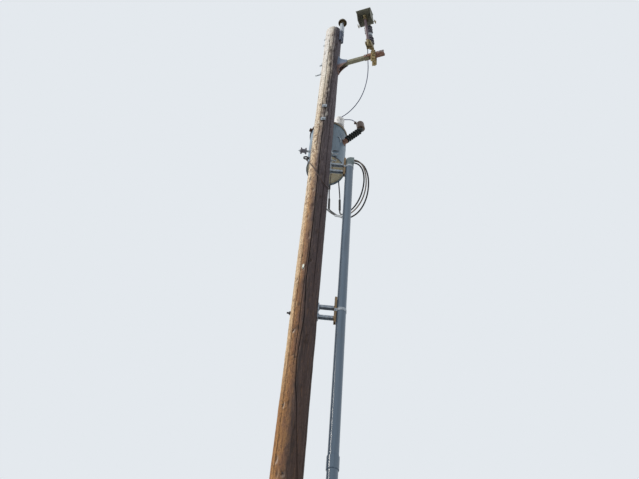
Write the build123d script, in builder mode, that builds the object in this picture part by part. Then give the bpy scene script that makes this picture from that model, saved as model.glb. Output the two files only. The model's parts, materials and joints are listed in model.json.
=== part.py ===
from build123d import *
import os
from math import cos, pi, radians, sin, tan

os.makedirs("parts", exist_ok=True)

# A wooden distribution pole. The origin is the centre of its foot at ground level, +Z is up,
# +X points to the side that carries the cable riser, and -Y to the side that people look at it from.
# Azimuths are degrees from +X, seen from above, counter-clockwise.

# Pole
POLE_HEIGHT = 11430.0
POLE_FOOT_DIA = 263.0
POLE_TOP_DIA = 230.0
POLE_TOP_BEVEL = 9.0

# Through bolts, five eighths of an inch, with square washers
BOLT_DIA = 16.0
BOLT_HOLE_DIA = 17.5
BOLT_HEAD = 26.0
BOLT_HEAD_HEIGHT = 11.0
BOLT_HEAD_CORNER = 2.0
WASHER = 57.0
WASHER_THICKNESS = 5.0
WASHER_SEAT = 4.5

# Pole-top pin and its insulator
TOP_AZIMUTH = -32.0
PIN_CHANNEL_WIDTH = 76.0
PIN_CHANNEL_DEPTH = 30.0
PIN_CHANNEL_WALL = 5.0
PIN_CHANNEL_LAP = 375.0
PIN_CHANNEL_LENGTH = 505.0
PIN_BOLT_DROPS = (270.0, 85.0)
PIN_STEM_DIA = 19.0
PIN_STEM_LENGTH = 124.0
PIN_HEAD_DIA = 25.0
PIN_HEAD_LENGTH = 42.0
PIN_INSULATOR_DIA = 126.0
PIN_INSULATOR_HEIGHT = 98.0
PIN_SKIRT_DROP = 20.0
PIN_TAIL = 22.0

# Cutout arm
ARM_AZIMUTH = -23.0
ARM_DROP = 1010.0
ARM_DEPTH = 62.0
ARM_WIDTH = 50.0
ARM_CORNER = 8.0
ARM_START_GAP = 14.0
ARM_END = 545.0
BASE_PLATE_WIDTH = 70.0
BASE_PLATE_THICKNESS = 8.0
BASE_PLATE_TOP = 190.0
BASE_PLATE_BOTTOM = 215.0
BASE_GUSSET_THICKNESS = 6.0
BASE_GUSSET_REACH = 120.0
BASE_GUSSET_BELLY = 28.0
ARM_BOLT_SPACING = 250.0
ARM_BOLT_TAIL_TOP = 30.0
ARM_BOLT_TAIL_LOW = 72.0
STRAP_THICKNESS = 6.0
STRAP_START = 480.0
STRAP_END = 755.0
STRAP_DEPTH = 60.0
STRAP_BOLTS = (512.0, 690.0, 732.0)
STRAP_BOLT_DIA = 12.0
STRAP_BOLT_HEAD = 8.0

# Cutout hanger: the plates that clamp the cutout to the end of the arm
HANGER_REACH = 610.0
HANGER_WIDTH = 62.0
HANGER_THICKNESS = 8.0
HANGER_DROP = 205.0
HANGER_RISE = 70.0
HANGER_BAR_WIDTH = 40.0
HANGER_BAR_THICKNESS = 9.0
HANGER_BOLT_DROPS = (75.0, 165.0)
HANGER_BOLT_TAIL = 24.0

# Cutout: leans out at its top, square to the arm
CUTOUT_LEAN = 25.0
CUTOUT_FORWARD = 150.0
CUTOUT_RISE = 10.0
CUTOUT_BODY = 320.0
CUTOUT_CORE_DIA = 66.0
CUTOUT_SHED_DIA = 108.0
CUTOUT_SHED_LIP = 5.0
CUTOUT_SHEDS = 3
CUTOUT_WAIST = 52.0
CUTOUT_BAND_DIA = 84.0
CUTOUT_BAND_HEIGHT = 34.0
BAND_LUG = 33.0
CAP_DIA = 74.0
CAP_HEIGHT = 30.0
FUSE_OFFSET = 150.0
FUSE_DROP = 80.0
FERRULE_ABOVE = 25.0
FUSE_TUBE_DIA = 36.0
FUSE_TUBE_BORE = 19.0
TRUNNION_DIA = 14.0
TRUNNION_LENGTH = 84.0
TRUNNION_CLEARANCE = 0.4
CHEEK_THICKNESS = 9.0
CHEEK_GAP = 58.0
CASTING_ARM_WIDTH = 40.0
CASTING_ARM_THICKNESS = 16.0
FERRULE_DIA = 46.0
FERRULE_HEIGHT = 40.0
CONTACT_GAP = 6.0
TERMINAL_SIDE = 12.0
TERMINAL_RISE = 52.0
TERMINAL_HEIGHT = 28.0
TERMINAL_BACK = 8.0
TERMINAL_DEPTH = 26.0
TERMINAL_WIDTH = 34.0
HOOK_DIA = 10.0
HOOK_GAP = 22.0
HOOK_DROP = 84.0
HOOK_REACH = 104.0
PULL_RING_DIA = 46.0
PULL_RING_BAR = 9.0
LOWER_FITTING_TOP = 48.0
LOWER_FITTING_LENGTH = 74.0
HINGE_WEB_CLEARANCE = 60.0
HINGE_STEM = 24.0
HOOD_WIDTH = 184.0
HOOD_HEIGHT = 143.0
HOOD_BACK = 60.0
HOOD_FRONT = 205.0
HOOD_WALL = 5.0
HOOD_LIP = 14.0
HOOD_RAISE = 70.0

# Transformer tank, hung behind the pole
TANK_AZIMUTH = 81.0
TANK_OFFSET = 420.0
TANK_DIA = 460.0
TANK_WALL = 6.0
TANK_DROP = 2770.0
TANK_HEIGHT = 715.0
BOTTOM_RECESS = 22.0
BOTTOM_THICKNESS = 5.0
LID_OVERHANG = 5.0
LID_THICKNESS = 4.0
LID_RIM = 14.0
LID_DOME = 34.0
BAND_HEIGHT = 30.0
BAND_THICKNESS = 6.0
BAND_LUG_AZIMUTH = 200.0
GROUND_LUG_AZIMUTH = -63.0
GROUND_LUG_RISE = 30.0
GROUND_LUG_WIDTH = 28.0
GROUND_LUG_REACH = 20.0
TANK_BOLT_RISE = 596.0
TANK_BOLT_SPACING = 286.0
HANGER_LUG_WIDTH = 92.0
HANGER_LUG_HEIGHT = 96.0
HANGER_LUG_WALL = 8.0
TANK_BOLT_TAIL = 26.0

# High-voltage bushing on the lid
HV_AZIMUTH = -20.0
HV_OFFSET = 130.0
HV_BODY_DIA = 72.0
HV_SHED_DIA = 104.0
HV_BOSS_RIM = 10.0
HV_SHEDS = 3
HV_BODY_HEIGHT = 330.0
HV_COVER_DIA = 132.0
HV_COVER_HEIGHT = 185.0
HV_COVER_WALL = 8.0
HV_TERMINAL = 34.0
HV_TERMINAL_HEIGHT = 46.0

# Low-voltage bushings on the far wall
LV_AZIMUTHS = (55.0, 80.0, 110.0)
LV_RISE = 530.0
LV_DIA = 52.0
LV_LENGTH = 46.0
LV_CLAMP = 30.0
LV_COLLAR_RIM = 5.0
LV_COLLAR_WIDTH = 8.0

# Surge arrester on the side of the tank
ARRESTER_AZIMUTH = -32.0
ARRESTER_FOOT_RISE = 480.0
ARRESTER_STANDOFF = 36.0
ARRESTER_PAD_WIDTH = 64.0
ARRESTER_PAD_HEIGHT = 70.0
ARRESTER_PAD_DROP = 34.0
ARRESTER_BAR_WIDTH = 36.0
ARRESTER_SOCKET = 46.0
ARRESTER_LEAN = 46.0
ARRESTER_TURN = -17.5
ARRESTER_CORE_DIA = 46.0
ARRESTER_SHED_DIA = 86.0
ARRESTER_SHEDS = 7
ARRESTER_SHED_PITCH = 34.0
ARRESTER_KNUCKLE_DIA = 62.0
ARRESTER_CAP_RAISE = 22.0
ARRESTER_CAP_DIA = 100.0
ARRESTER_CAP_HEIGHT = 125.0
ARRESTER_CAP_LEAN = -8.0
STUD_REACH = 40.0
STUD_WIDTH = 18.0
STUD_THICKNESS = 8.0

# Riser: plastic conduit on standoffs
RISER_OFFSET = 333.0
RISER_DIA = 88.9
RISER_DROP = 3215.0
RISER_JOINT_RISE = 623.0
COUPLING_DIA = 101.0
COUPLING_LENGTH = 112.0
FIT_GAP = 0.2
HEAD_HEIGHT = 150.0
HEAD_WALL = 6.0
HEAD_MOUTH_REACH = 47.0
HEAD_MOUTH_WIDTH = 86.0
HEAD_MOUTH_DROP = 104.0
HEAD_MOUTH_SLOPE = 26.0
HEAD_MOUTH_ROUND = 18.0
HEAD_INSERT = 8.0

# Standoff brackets, from the top one down
STANDOFF_RISE = 5.0
STANDOFF_LOWEST = 1710.0
STANDOFF_COUNT = 4
STRUT_LENGTH = 305.0
STRUT_WIDTH = 41.0
STRUT_DEPTH = 21.0
STRUT_WALL = 2.7
STRUT_SHIFT = -16.0
STANDOFF_ARM_HEIGHT = 26.0
STANDOFF_ARM_WIDTH = 38.0
STANDOFF_ARM_WALL = 3.0
STANDOFF_ARM_RISES = (8.0, -112.0)
STANDOFF_PLATE_WIDTH = 60.0
STANDOFF_PLATE_HEIGHT = 180.0
STANDOFF_PLATE_THICKNESS = 6.0
STANDOFF_PLATE_SHIFT = -52.0
LAG_DIA = 12.7
LAG_HEAD = 19.0
LAG_HEAD_HEIGHT = 8.0
LAG_LENGTH = 90.0
LAG_RISES = (-20.0, -84.0)
RISER_STRAP_WIDTH = 32.0
RISER_STRAP_RISE = -23.0
RISER_STRAP_THICKNESS = 3.0

# Neutral spool and eye on the left
NEUTRAL_AZIMUTH = 180.0
SPOOL_DROP = 2990.0
EYE_DROP = 130.0
SPOOL_DIA = 78.0
SPOOL_LENGTH = 72.0
SPOOL_NECK_DIA = 46.0
SPOOL_STANDOFF = 50.0
SPOOL_TAIL = 78.0
SPOOL_KEEPER = 8.0
SPOOL_POINT = 18.0
STRAIN_PLATE_WIDTH = 52.0
STRAIN_PLATE_ABOVE = 130.0
STRAIN_PLATE_BELOW = 60.0
STRAIN_PLATE_THICKNESS = 6.0
EYE_WIDTH = 62.0
EYE_BAR = 12.0
EYE_TAIL = 62.0
EYE_CLAMP = 20.0

# Wires
HV_WIRE_DIA = 11.0
LEAD_DIA = 15.0
RISER_CABLE_DIA = 17.0
BOND_WIRE_DIA = 9.0
SPLICE_DIA = 27.0
SPLICE_OVERLAP = 20.0
WIRE_GRIP = 12.0
WIRE_LUG_LENGTH = 30.0
WIRE_LUG_WIDTH = 26.0
WIRE_LUG_WALL = 4.0
WIRE_LUG_DEPTH = 15.0

# Heights that follow: what the pole carries hangs from its top
PIN_CHANNEL_BOTTOM = POLE_HEIGHT - PIN_CHANNEL_LAP
PIN_BOLT_HEIGHTS = [POLE_HEIGHT - drop for drop in PIN_BOLT_DROPS]
ARM_HEIGHT = POLE_HEIGHT - ARM_DROP
ARM_BOLT_HEIGHTS = (ARM_HEIGHT + ARM_BOLT_SPACING / 2, ARM_HEIGHT - ARM_BOLT_SPACING / 2)
TANK_BOTTOM = POLE_HEIGHT - TANK_DROP
TANK_TOP = TANK_BOTTOM + TANK_HEIGHT
TANK_BOLT_TOP = TANK_BOTTOM + TANK_BOLT_RISE
TANK_BOLT_HEIGHTS = (TANK_BOLT_TOP, TANK_BOLT_TOP - TANK_BOLT_SPACING)
GROUND_LUG_HEIGHT = TANK_BOTTOM + GROUND_LUG_RISE
LV_HEIGHT = TANK_BOTTOM + LV_RISE
ARRESTER_FOOT_HEIGHT = TANK_BOTTOM + ARRESTER_FOOT_RISE
RISER_TOP = POLE_HEIGHT - RISER_DROP
STANDOFF_TOP = RISER_TOP + STANDOFF_RISE
STANDOFF_SPACING = (STANDOFF_TOP - STANDOFF_LOWEST) / (STANDOFF_COUNT - 1)
STANDOFF_HEIGHTS = [STANDOFF_TOP - STANDOFF_SPACING * n for n in range(STANDOFF_COUNT)]
RISER_JOINT = STANDOFF_HEIGHTS[-2] + RISER_JOINT_RISE
SPOOL_HEIGHT = POLE_HEIGHT - SPOOL_DROP
EYE_HEIGHT = SPOOL_HEIGHT - EYE_DROP
STRAIN_PLATE_TOP = SPOOL_HEIGHT + STRAIN_PLATE_ABOVE
STRAIN_PLATE_LOW = EYE_HEIGHT - STRAIN_PLATE_BELOW


def hung(start_level, end_level, points):
    """A route whose points are x, y and the rise above the line between its ends' two levels."""
    last = len(points) - 1
    return [
        (x, y, start_level + (end_level - start_level) * number / last + rise)
        for number, (x, y, rise) in enumerate(points)
    ]


# Routes of the wires, from one terminal to the other, as the photograph shows them
HV_LEAD = hung(ARM_HEIGHT, TANK_TOP, (
    (468, -332, 20), (470, -312, 125.3), (475, -272, 222.6), (481, -222, 297.9),
    (487, -175, 349.2), (493, -140, 376.6), (498, -120, 391.9), (502, -106, 395.2),
    (504, -92, 380.5), (503, -68, 355.8), (495, -25, 323.1), (474, 40, 283.4),
    (436, 112, 258.8), (380, 190, 261.1), (316, 262, 290.4), (250, 325, 339.7),
    (188, 370, 399),
))
ARRESTER_JUMPER = hung(TANK_TOP, ARRESTER_FOOT_HEIGHT, (
    (188, 378, 380), (231, 376, 411.6), (276, 358, 424.2), (314, 328, 417.8),
    (342, 292, 393.2), (364, 258, 360.8), (379, 236, 338.4), (388, 222, 326),
))
RISER_CABLE_OUTER = hung(RISER_TOP, RISER_TOP, (
    (358, 4, 126), (410, 4, 130), (461, 13, 115), (504, 28, 76), (535, 50, 19),
    (557, 78, -57), (566, 110, -155), (560, 148, -263), (538, 192, -359), (500, 238, -435),
    (448, 284, -480), (388, 332, -487), (331, 377, -453), (276, 412, -395),
    (234, 458, -310), (198, 508, -220), (172, 560, -130), (156, 605, -55), (150, 634, 11),
))
RISER_CABLE_INNER = hung(RISER_TOP, RISER_TOP, (
    (358, 0, 88), (408, 1, 87), (455, 13, 63), (489, 36, 11), (508, 68, -59),
    (512, 108, -139), (500, 156, -227), (474, 208, -303), (437, 262, -355),
    (393, 316, -377), (346, 374, -365), (310, 436, -319), (291, 496, -251),
    (282, 548, -171), (279, 580, -100), (278, 592, -43),
))
RISER_CABLE_NEUTRAL = hung(RISER_TOP, RISER_TOP, (
    (358, -27, 105), (409, -27, 105), (458, -14, 80), (495, 9, 31), (521, 40, -35),
    (536, 78, -117), (535, 122, -207), (518, 168, -293), (485, 214, -367),
    (440, 258, -423), (388, 300, -453), (336, 331, -463), (290, 360, -449),
))
LEAD_RIGHT = hung(LV_HEIGHT, RISER_TOP, (
    (232, 653, -2), (235, 656, 22.5), (236, 652, 25), (246, 640, 17.5), (260, 625, 20),
    (271, 616, 42.5), (272, 608, 123),
))
LEAD_MIDDLE = hung(LV_HEIGHT, RISER_TOP, (
    (116, 700, -2), (118, 705, 22.5), (122, 702, 35), (129, 690, 47.5), (137, 676, 70),
    (142, 662, 102.5), (146, 650, 177),
))
LEAD_LEFT = hung(LV_HEIGHT, RISER_TOP, (
    (-34, 688, -2), (-32, 692, -48.8), (-29, 688, -117.5), (-22, 676, -186.2),
    (-12, 660, -255), (2, 638, -313.8), (22, 606, -362.5), (50, 564, -401.2),
    (82, 514, -434), (118, 464, -458.8), (156, 424, -469.5), (198, 396, -460.2),
    (240, 380, -419),
))
BOND_WIRE = hung(EYE_HEIGHT, GROUND_LUG_HEIGHT, (
    (-150, -4, -30), (-147, -20, -103), (-132, -54, -188), (-102, -90, -287),
    (-64, -118, -401), (-26, -132, -520), (14, -134, -629), (51, -124, -712),
    (84, -103, -758), (111, -77, -779), (127, -46, -788), (136, -10, -759),
    (137, 24, -706), (134, 50, -632), (132, 70, -546), (134, 88, -455), (139, 110, -364),
    (146, 137, -273), (155, 165, -182), (165, 190, -91), (174, 202, -10),
))


def outward(azimuth):
    return Vector(cos(radians(azimuth)), sin(radians(azimuth)), 0)


def radial_plane(azimuth, height, reach=0.0):
    """Square to the azimuth, x along the pole's skin, y up and the normal away from its axis."""
    out = outward(azimuth)
    return Plane(
        origin=out * reach + Vector(0, 0, height), x_dir=Vector(-out.Y, out.X, 0), z_dir=out
    )


def side_plane(azimuth, height=0.0, reach=0.0, shift=0.0):
    """Upright and along the azimuth: x points outward, y up, and the normal to the right of it."""
    out = outward(azimuth)
    right = Vector(out.Y, -out.X, 0)
    return Plane(origin=out * reach + right * shift + Vector(0, 0, height), x_dir=out, z_dir=right)


def level_plane(azimuth, height, reach):
    """Level, with x outward, at a distance from the pole's axis."""
    out = outward(azimuth)
    return Plane(origin=out * reach + Vector(0, 0, height), x_dir=out, z_dir=Vector(0, 0, 1))


def pole_radius(height):
    return (POLE_FOOT_DIA + (POLE_TOP_DIA - POLE_FOOT_DIA) * height / POLE_HEIGHT) / 2


def write(piece, name):
    piece.part.label = name
    export_step(piece.part, f"parts/{name}.step")


def wire(name, route, diameter):
    """A wire along its route: straight runs joined by the largest tangent arcs that fit."""
    points = [Vector(*point) for point in route]
    runs = [after - before for before, after in zip(points, points[1:])]
    radii = []
    for before, after in zip(runs, runs[1:]):
        turn = radians(before.get_angle(after))
        radii.append(0.45 * min(before.length, after.length) / tan(turn / 2))
    with BuildPart() as tube:
        with BuildLine() as path:
            FilletPolyline(*points, radius=radii)
        with BuildSketch(Plane(origin=points[0], z_dir=runs[0])):
            Circle(diameter / 2)
        sweep()
    length = sum(edge.length for edge in path.edges())
    share = tube.part.volume / (length * pi * diameter**2 / 4)
    print(f"{name}: {length:.0f} mm, volume {share:.4f} of its section by its length")
    print("  radii", [round(radius) for radius in radii])
    write(tube, name)


def wire_seat(route, end, diameter):
    """The blind hole in a terminal that one end of a wire lies in: end is 0 or -1."""
    inner = 1 if end == 0 else -2
    spot = Vector(*route[end])
    way = Vector(*route[inner]) - spot
    return Solid.make_cylinder(diameter / 2 + FIT_GAP, way.length, Plane(origin=spot, z_dir=way))


# The pole's plain form, which every piece that lies on its skin is fitted to
with BuildPart() as pole_form:
    with BuildSketch(Plane.XZ):
        with BuildLine():
            Polyline(
                (0, 0),
                (POLE_FOOT_DIA / 2, 0),
                (POLE_TOP_DIA / 2, POLE_HEIGHT - POLE_TOP_BEVEL),
                (POLE_TOP_DIA / 2 - POLE_TOP_BEVEL, POLE_HEIGHT),
                (0, POLE_HEIGHT),
                close=True,
            )
        make_face()
    revolve(axis=Axis.Z)

THROUGH_HOLES = (
    [(TOP_AZIMUTH, height) for height in PIN_BOLT_HEIGHTS]
    + [(ARM_AZIMUTH, height) for height in ARM_BOLT_HEIGHTS]
    + [(TANK_AZIMUTH, height) for height in TANK_BOLT_HEIGHTS]
    + [(NEUTRAL_AZIMUTH, SPOOL_HEIGHT), (NEUTRAL_AZIMUTH, EYE_HEIGHT)]
)

with BuildPart() as pole:
    add(pole_form.part)
    for azimuth, height in THROUGH_HOLES:
        with BuildSketch(radial_plane(azimuth, height, -POLE_FOOT_DIA)):
            Circle(BOLT_HOLE_DIA / 2)
        extrude(amount=2 * POLE_FOOT_DIA, mode=Mode.SUBTRACT)
    for height in STANDOFF_HEIGHTS:
        for rise in LAG_RISES:
            with BuildSketch(radial_plane(0, height + rise, pole_radius(height) - LAG_LENGTH)):
                Circle(LAG_DIA / 2)
            extrude(amount=POLE_FOOT_DIA, mode=Mode.SUBTRACT)
write(pole, "pole")


def through_bolts(name, azimuth, bolts, washer_at_head=False, nut_lift=0.0):
    """Bolts across the pole. Each is its height, its head's reach outside the skin, and its tail.

    The nut on the other side sits on a square washer, or on a bracket that is nut_lift thick."""
    with BuildPart() as pair:
        sides = [azimuth] * washer_at_head + [azimuth + 180] * (not nut_lift)
        for height, head_reach, tail in bolts:
            skin = pole_radius(height)
            for side in sides:
                with BuildSketch(radial_plane(side, height, skin - WASHER_SEAT)):
                    Rectangle(WASHER, WASHER)
                extrude(amount=WASHER_SEAT + WASHER_THICKNESS)
        add(pole_form.part, mode=Mode.SUBTRACT)
        for height, head_reach, tail in bolts:
            skin = pole_radius(height)
            with BuildSketch(radial_plane(azimuth, height, -skin - tail)):
                Circle(BOLT_DIA / 2)
            extrude(amount=2 * skin + tail + head_reach)
            with BuildSketch(radial_plane(azimuth, height, skin + head_reach)):
                RectangleRounded(BOLT_HEAD, BOLT_HEAD, BOLT_HEAD_CORNER)
            extrude(amount=BOLT_HEAD_HEIGHT)
            nut_seat = skin + (nut_lift or WASHER_THICKNESS)
            with BuildSketch(radial_plane(azimuth + 180, height, nut_seat)):
                RectangleRounded(BOLT_HEAD, BOLT_HEAD, BOLT_HEAD_CORNER)
            extrude(amount=BOLT_HEAD_HEIGHT)
    write(pair, name)


# Pole-top pin: a channel whose flanges bear on the wood, closed at its head by a block with the stem
pin_skin = pole_radius(PIN_CHANNEL_BOTTOM)
pin_top = PIN_CHANNEL_BOTTOM + PIN_CHANNEL_LENGTH
pin_reach = pin_skin + PIN_CHANNEL_DEPTH / 2
with BuildPart() as pole_top_pin:
    with BuildSketch(level_plane(TOP_AZIMUTH, PIN_CHANNEL_BOTTOM, pin_reach)):
        Rectangle(PIN_CHANNEL_DEPTH, PIN_CHANNEL_WIDTH)
        with Locations((-PIN_CHANNEL_WALL, 0)):
            Rectangle(
                PIN_CHANNEL_DEPTH, PIN_CHANNEL_WIDTH - 2 * PIN_CHANNEL_WALL, mode=Mode.SUBTRACT
            )
    extrude(amount=PIN_CHANNEL_LENGTH)
    with BuildSketch(level_plane(TOP_AZIMUTH, pin_top, pin_reach)):
        Rectangle(PIN_CHANNEL_DEPTH, PIN_CHANNEL_WIDTH)
    with BuildSketch(level_plane(TOP_AZIMUTH, pin_top + PIN_STEM_LENGTH / 2, pin_reach)):
        Circle(PIN_STEM_DIA / 2)
    loft()
    with BuildSketch(level_plane(TOP_AZIMUTH, pin_top, pin_reach)):
        Circle(PIN_STEM_DIA / 2)
    extrude(amount=PIN_STEM_LENGTH)
    with BuildSketch(level_plane(TOP_AZIMUTH, pin_top + PIN_STEM_LENGTH - PIN_HEAD_LENGTH, pin_reach)):
        Circle(PIN_HEAD_DIA / 2)
    extrude(amount=PIN_HEAD_LENGTH)
    for height in PIN_BOLT_HEIGHTS:
        with BuildSketch(radial_plane(TOP_AZIMUTH, height, pin_skin)):
            Circle(BOLT_HOLE_DIA / 2)
        extrude(amount=PIN_CHANNEL_DEPTH + PIN_CHANNEL_WALL, mode=Mode.SUBTRACT)
    add(pole_form.part, mode=Mode.SUBTRACT)
write(pole_top_pin, "pole_top_pin")

pin_bolts = [
    (height, pin_skin + PIN_CHANNEL_DEPTH - pole_radius(height), PIN_TAIL)
    for height in PIN_BOLT_HEIGHTS
]
through_bolts("pin_bolts", TOP_AZIMUTH, pin_bolts)

# Pin insulator: a bell with two petticoats, a side groove and a crown groove
insulator_seat = pin_top + PIN_STEM_LENGTH - PIN_HEAD_LENGTH
insulator_rim = insulator_seat - PIN_SKIRT_DROP
with BuildPart() as pin_insulator:
    with BuildSketch(side_plane(TOP_AZIMUTH, insulator_rim, pin_reach)):
        with BuildLine():
            Polyline(
                (PIN_HEAD_DIA / 2 + FIT_GAP, PIN_SKIRT_DROP),
                (PIN_HEAD_DIA / 2 + FIT_GAP, PIN_SKIRT_DROP + PIN_HEAD_LENGTH + 2),
                (0, PIN_SKIRT_DROP + PIN_HEAD_LENGTH + 2),
                (0, PIN_INSULATOR_HEIGHT),
                (24, PIN_INSULATOR_HEIGHT),
                (34, PIN_INSULATOR_HEIGHT - 8),
                (34, PIN_INSULATOR_HEIGHT - 18),
                (27, PIN_INSULATOR_HEIGHT - 28),
                (29, PIN_INSULATOR_HEIGHT - 38),
                (50, PIN_INSULATOR_HEIGHT - 52),
                (PIN_INSULATOR_DIA / 2, 22),
                (PIN_INSULATOR_DIA / 2, 4),
                (PIN_INSULATOR_DIA / 2 - 4, 0),
                (PIN_INSULATOR_DIA / 2 - 9, 0),
                (46, 32),
                (38, 34),
                (36, 4),
                (28, 4),
                (26, 32),
                (20, 34),
                (18, PIN_SKIRT_DROP),
                close=True,
            )
        make_face()
    revolve(
        axis=Axis(outward(TOP_AZIMUTH) * pin_reach + Vector(0, 0, insulator_rim), (0, 0, 1))
    )
write(pin_insulator, "pin_insulator")

# Arm base: a plate on the wood with two gussets that hold the arm's root
base_skin = pole_radius(ARM_HEIGHT)
base_face = base_skin + BASE_PLATE_THICKNESS
with BuildPart() as arm_base:
    with BuildSketch(radial_plane(ARM_AZIMUTH, ARM_HEIGHT, base_skin - 2 * WASHER_SEAT)):
        with Locations((0, (BASE_PLATE_TOP - BASE_PLATE_BOTTOM) / 2)):
            RectangleRounded(BASE_PLATE_WIDTH, BASE_PLATE_TOP + BASE_PLATE_BOTTOM, 12)
    extrude(amount=2 * WASHER_SEAT + BASE_PLATE_THICKNESS)
    add(pole_form.part, mode=Mode.SUBTRACT)
    for side in (-1, 1):
        shift = side * (ARM_WIDTH / 2 + BASE_GUSSET_THICKNESS / 2)
        with BuildSketch(side_plane(ARM_AZIMUTH, ARM_HEIGHT, base_face - 1, shift)):
            with BuildLine():
                tip_top = (BASE_GUSSET_REACH, ARM_DEPTH / 2 + 4)
                tip_low = (BASE_GUSSET_REACH, -ARM_DEPTH / 2 - 4)
                root_top = (0, BASE_PLATE_TOP - 16)
                root_low = (0, -BASE_PLATE_BOTTOM + 16)
                mid_top = (BASE_GUSSET_REACH / 2, (tip_top[1] + root_top[1]) / 2 - BASE_GUSSET_BELLY)
                mid_low = (BASE_GUSSET_REACH / 2, (tip_low[1] + root_low[1]) / 2 + BASE_GUSSET_BELLY)
                ThreePointArc(root_top, mid_top, tip_top)
                Line(tip_top, tip_low)
                ThreePointArc(tip_low, mid_low, root_low)
                Line(root_low, root_top)
            make_face()
        extrude(amount=BASE_GUSSET_THICKNESS / 2, both=True)
    for height in ARM_BOLT_HEIGHTS:
        with BuildSketch(radial_plane(ARM_AZIMUTH, height, base_skin - 2 * WASHER_SEAT)):
            Circle(BOLT_HOLE_DIA / 2)
        extrude(amount=4 * WASHER_SEAT + BASE_PLATE_THICKNESS, mode=Mode.SUBTRACT)
write(arm_base, "arm_base")

arm_bolts = [
    (height, base_face - pole_radius(height), tail + WASHER_THICKNESS + BOLT_HEAD_HEIGHT)
    for height, tail in zip(ARM_BOLT_HEIGHTS, (ARM_BOLT_TAIL_TOP, ARM_BOLT_TAIL_LOW))
]
through_bolts("arm_bolts", ARM_AZIMUTH, arm_bolts)

# Cutout arm: a foam-filled glass-fibre box, closed all round
arm_start = base_face + ARM_START_GAP
with BuildPart() as cutout_arm:
    with BuildSketch(radial_plane(ARM_AZIMUTH, ARM_HEIGHT, arm_start)):
        RectangleRounded(ARM_WIDTH, ARM_DEPTH, ARM_CORNER)
    extrude(amount=ARM_END - arm_start)
write(cutout_arm, "cutout_arm")

# End straps: two steel bars beside the arm's end, joined by a spacer that carries on past it
with BuildPart() as arm_straps:
    for side in (-1, 1):
        shift = side * (ARM_WIDTH / 2 + STRAP_THICKNESS / 2)
        length = STRAP_END - STRAP_START
        with BuildSketch(side_plane(ARM_AZIMUTH, ARM_HEIGHT, STRAP_START + length / 2, shift)):
            RectangleRounded(length, STRAP_DEPTH, 10)
        extrude(amount=STRAP_THICKNESS / 2, both=True)
    spacer = STRAP_END - ARM_END - 2 * STRAP_THICKNESS
    with BuildSketch(side_plane(ARM_AZIMUTH, ARM_HEIGHT, STRAP_END - STRAP_THICKNESS - spacer / 2)):
        Rectangle(spacer, STRAP_DEPTH - 2 * STRAP_THICKNESS)
    extrude(amount=ARM_WIDTH / 2, both=True)
    for reach in STRAP_BOLTS:
        for side in (-1, 1):
            shift = side * (ARM_WIDTH / 2 + STRAP_THICKNESS)
            with BuildSketch(side_plane(ARM_AZIMUTH, ARM_HEIGHT, reach, shift)):
                RegularPolygon(STRAP_BOLT_DIA, 6)
            extrude(amount=side * STRAP_BOLT_HEAD)
write(arm_straps, "arm_straps")

# Cutout hanger: two plates that hang beside the arm's end, bolted together over and under it, with
# a bent bar that rises from the front plate to the insulator's band
arm_right = outward(ARM_AZIMUTH - 90)
clamp_face = ARM_WIDTH / 2 + STRAP_THICKNESS
cutout_foot = (
    outward(ARM_AZIMUTH) * HANGER_REACH
    + arm_right * CUTOUT_FORWARD
    + Vector(0, 0, ARM_HEIGHT + CUTOUT_RISE)
)
cutout_axis = arm_right * sin(radians(CUTOUT_LEAN)) + Vector(0, 0, cos(radians(CUTOUT_LEAN)))
cutout_front = arm_right * cos(radians(CUTOUT_LEAN)) - Vector(0, 0, sin(radians(CUTOUT_LEAN)))
cutout_side = cutout_axis.cross(cutout_front)


def cutout_plane(along, forward=0.0, side=0.0):
    """Square to the cutout's leaning axis, with x to its front."""
    spot = cutout_foot + cutout_axis * along + cutout_front * forward + cutout_side * side
    return Plane(origin=spot, x_dir=cutout_front, z_dir=cutout_axis)


def cutout_profile(side=0.0):
    """Along the cutout's axis: x to its front, y up its axis, and the normal to its side."""
    spot = cutout_foot + cutout_side * side
    return Plane(origin=spot, x_dir=cutout_front, z_dir=cutout_side * -1)


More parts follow.
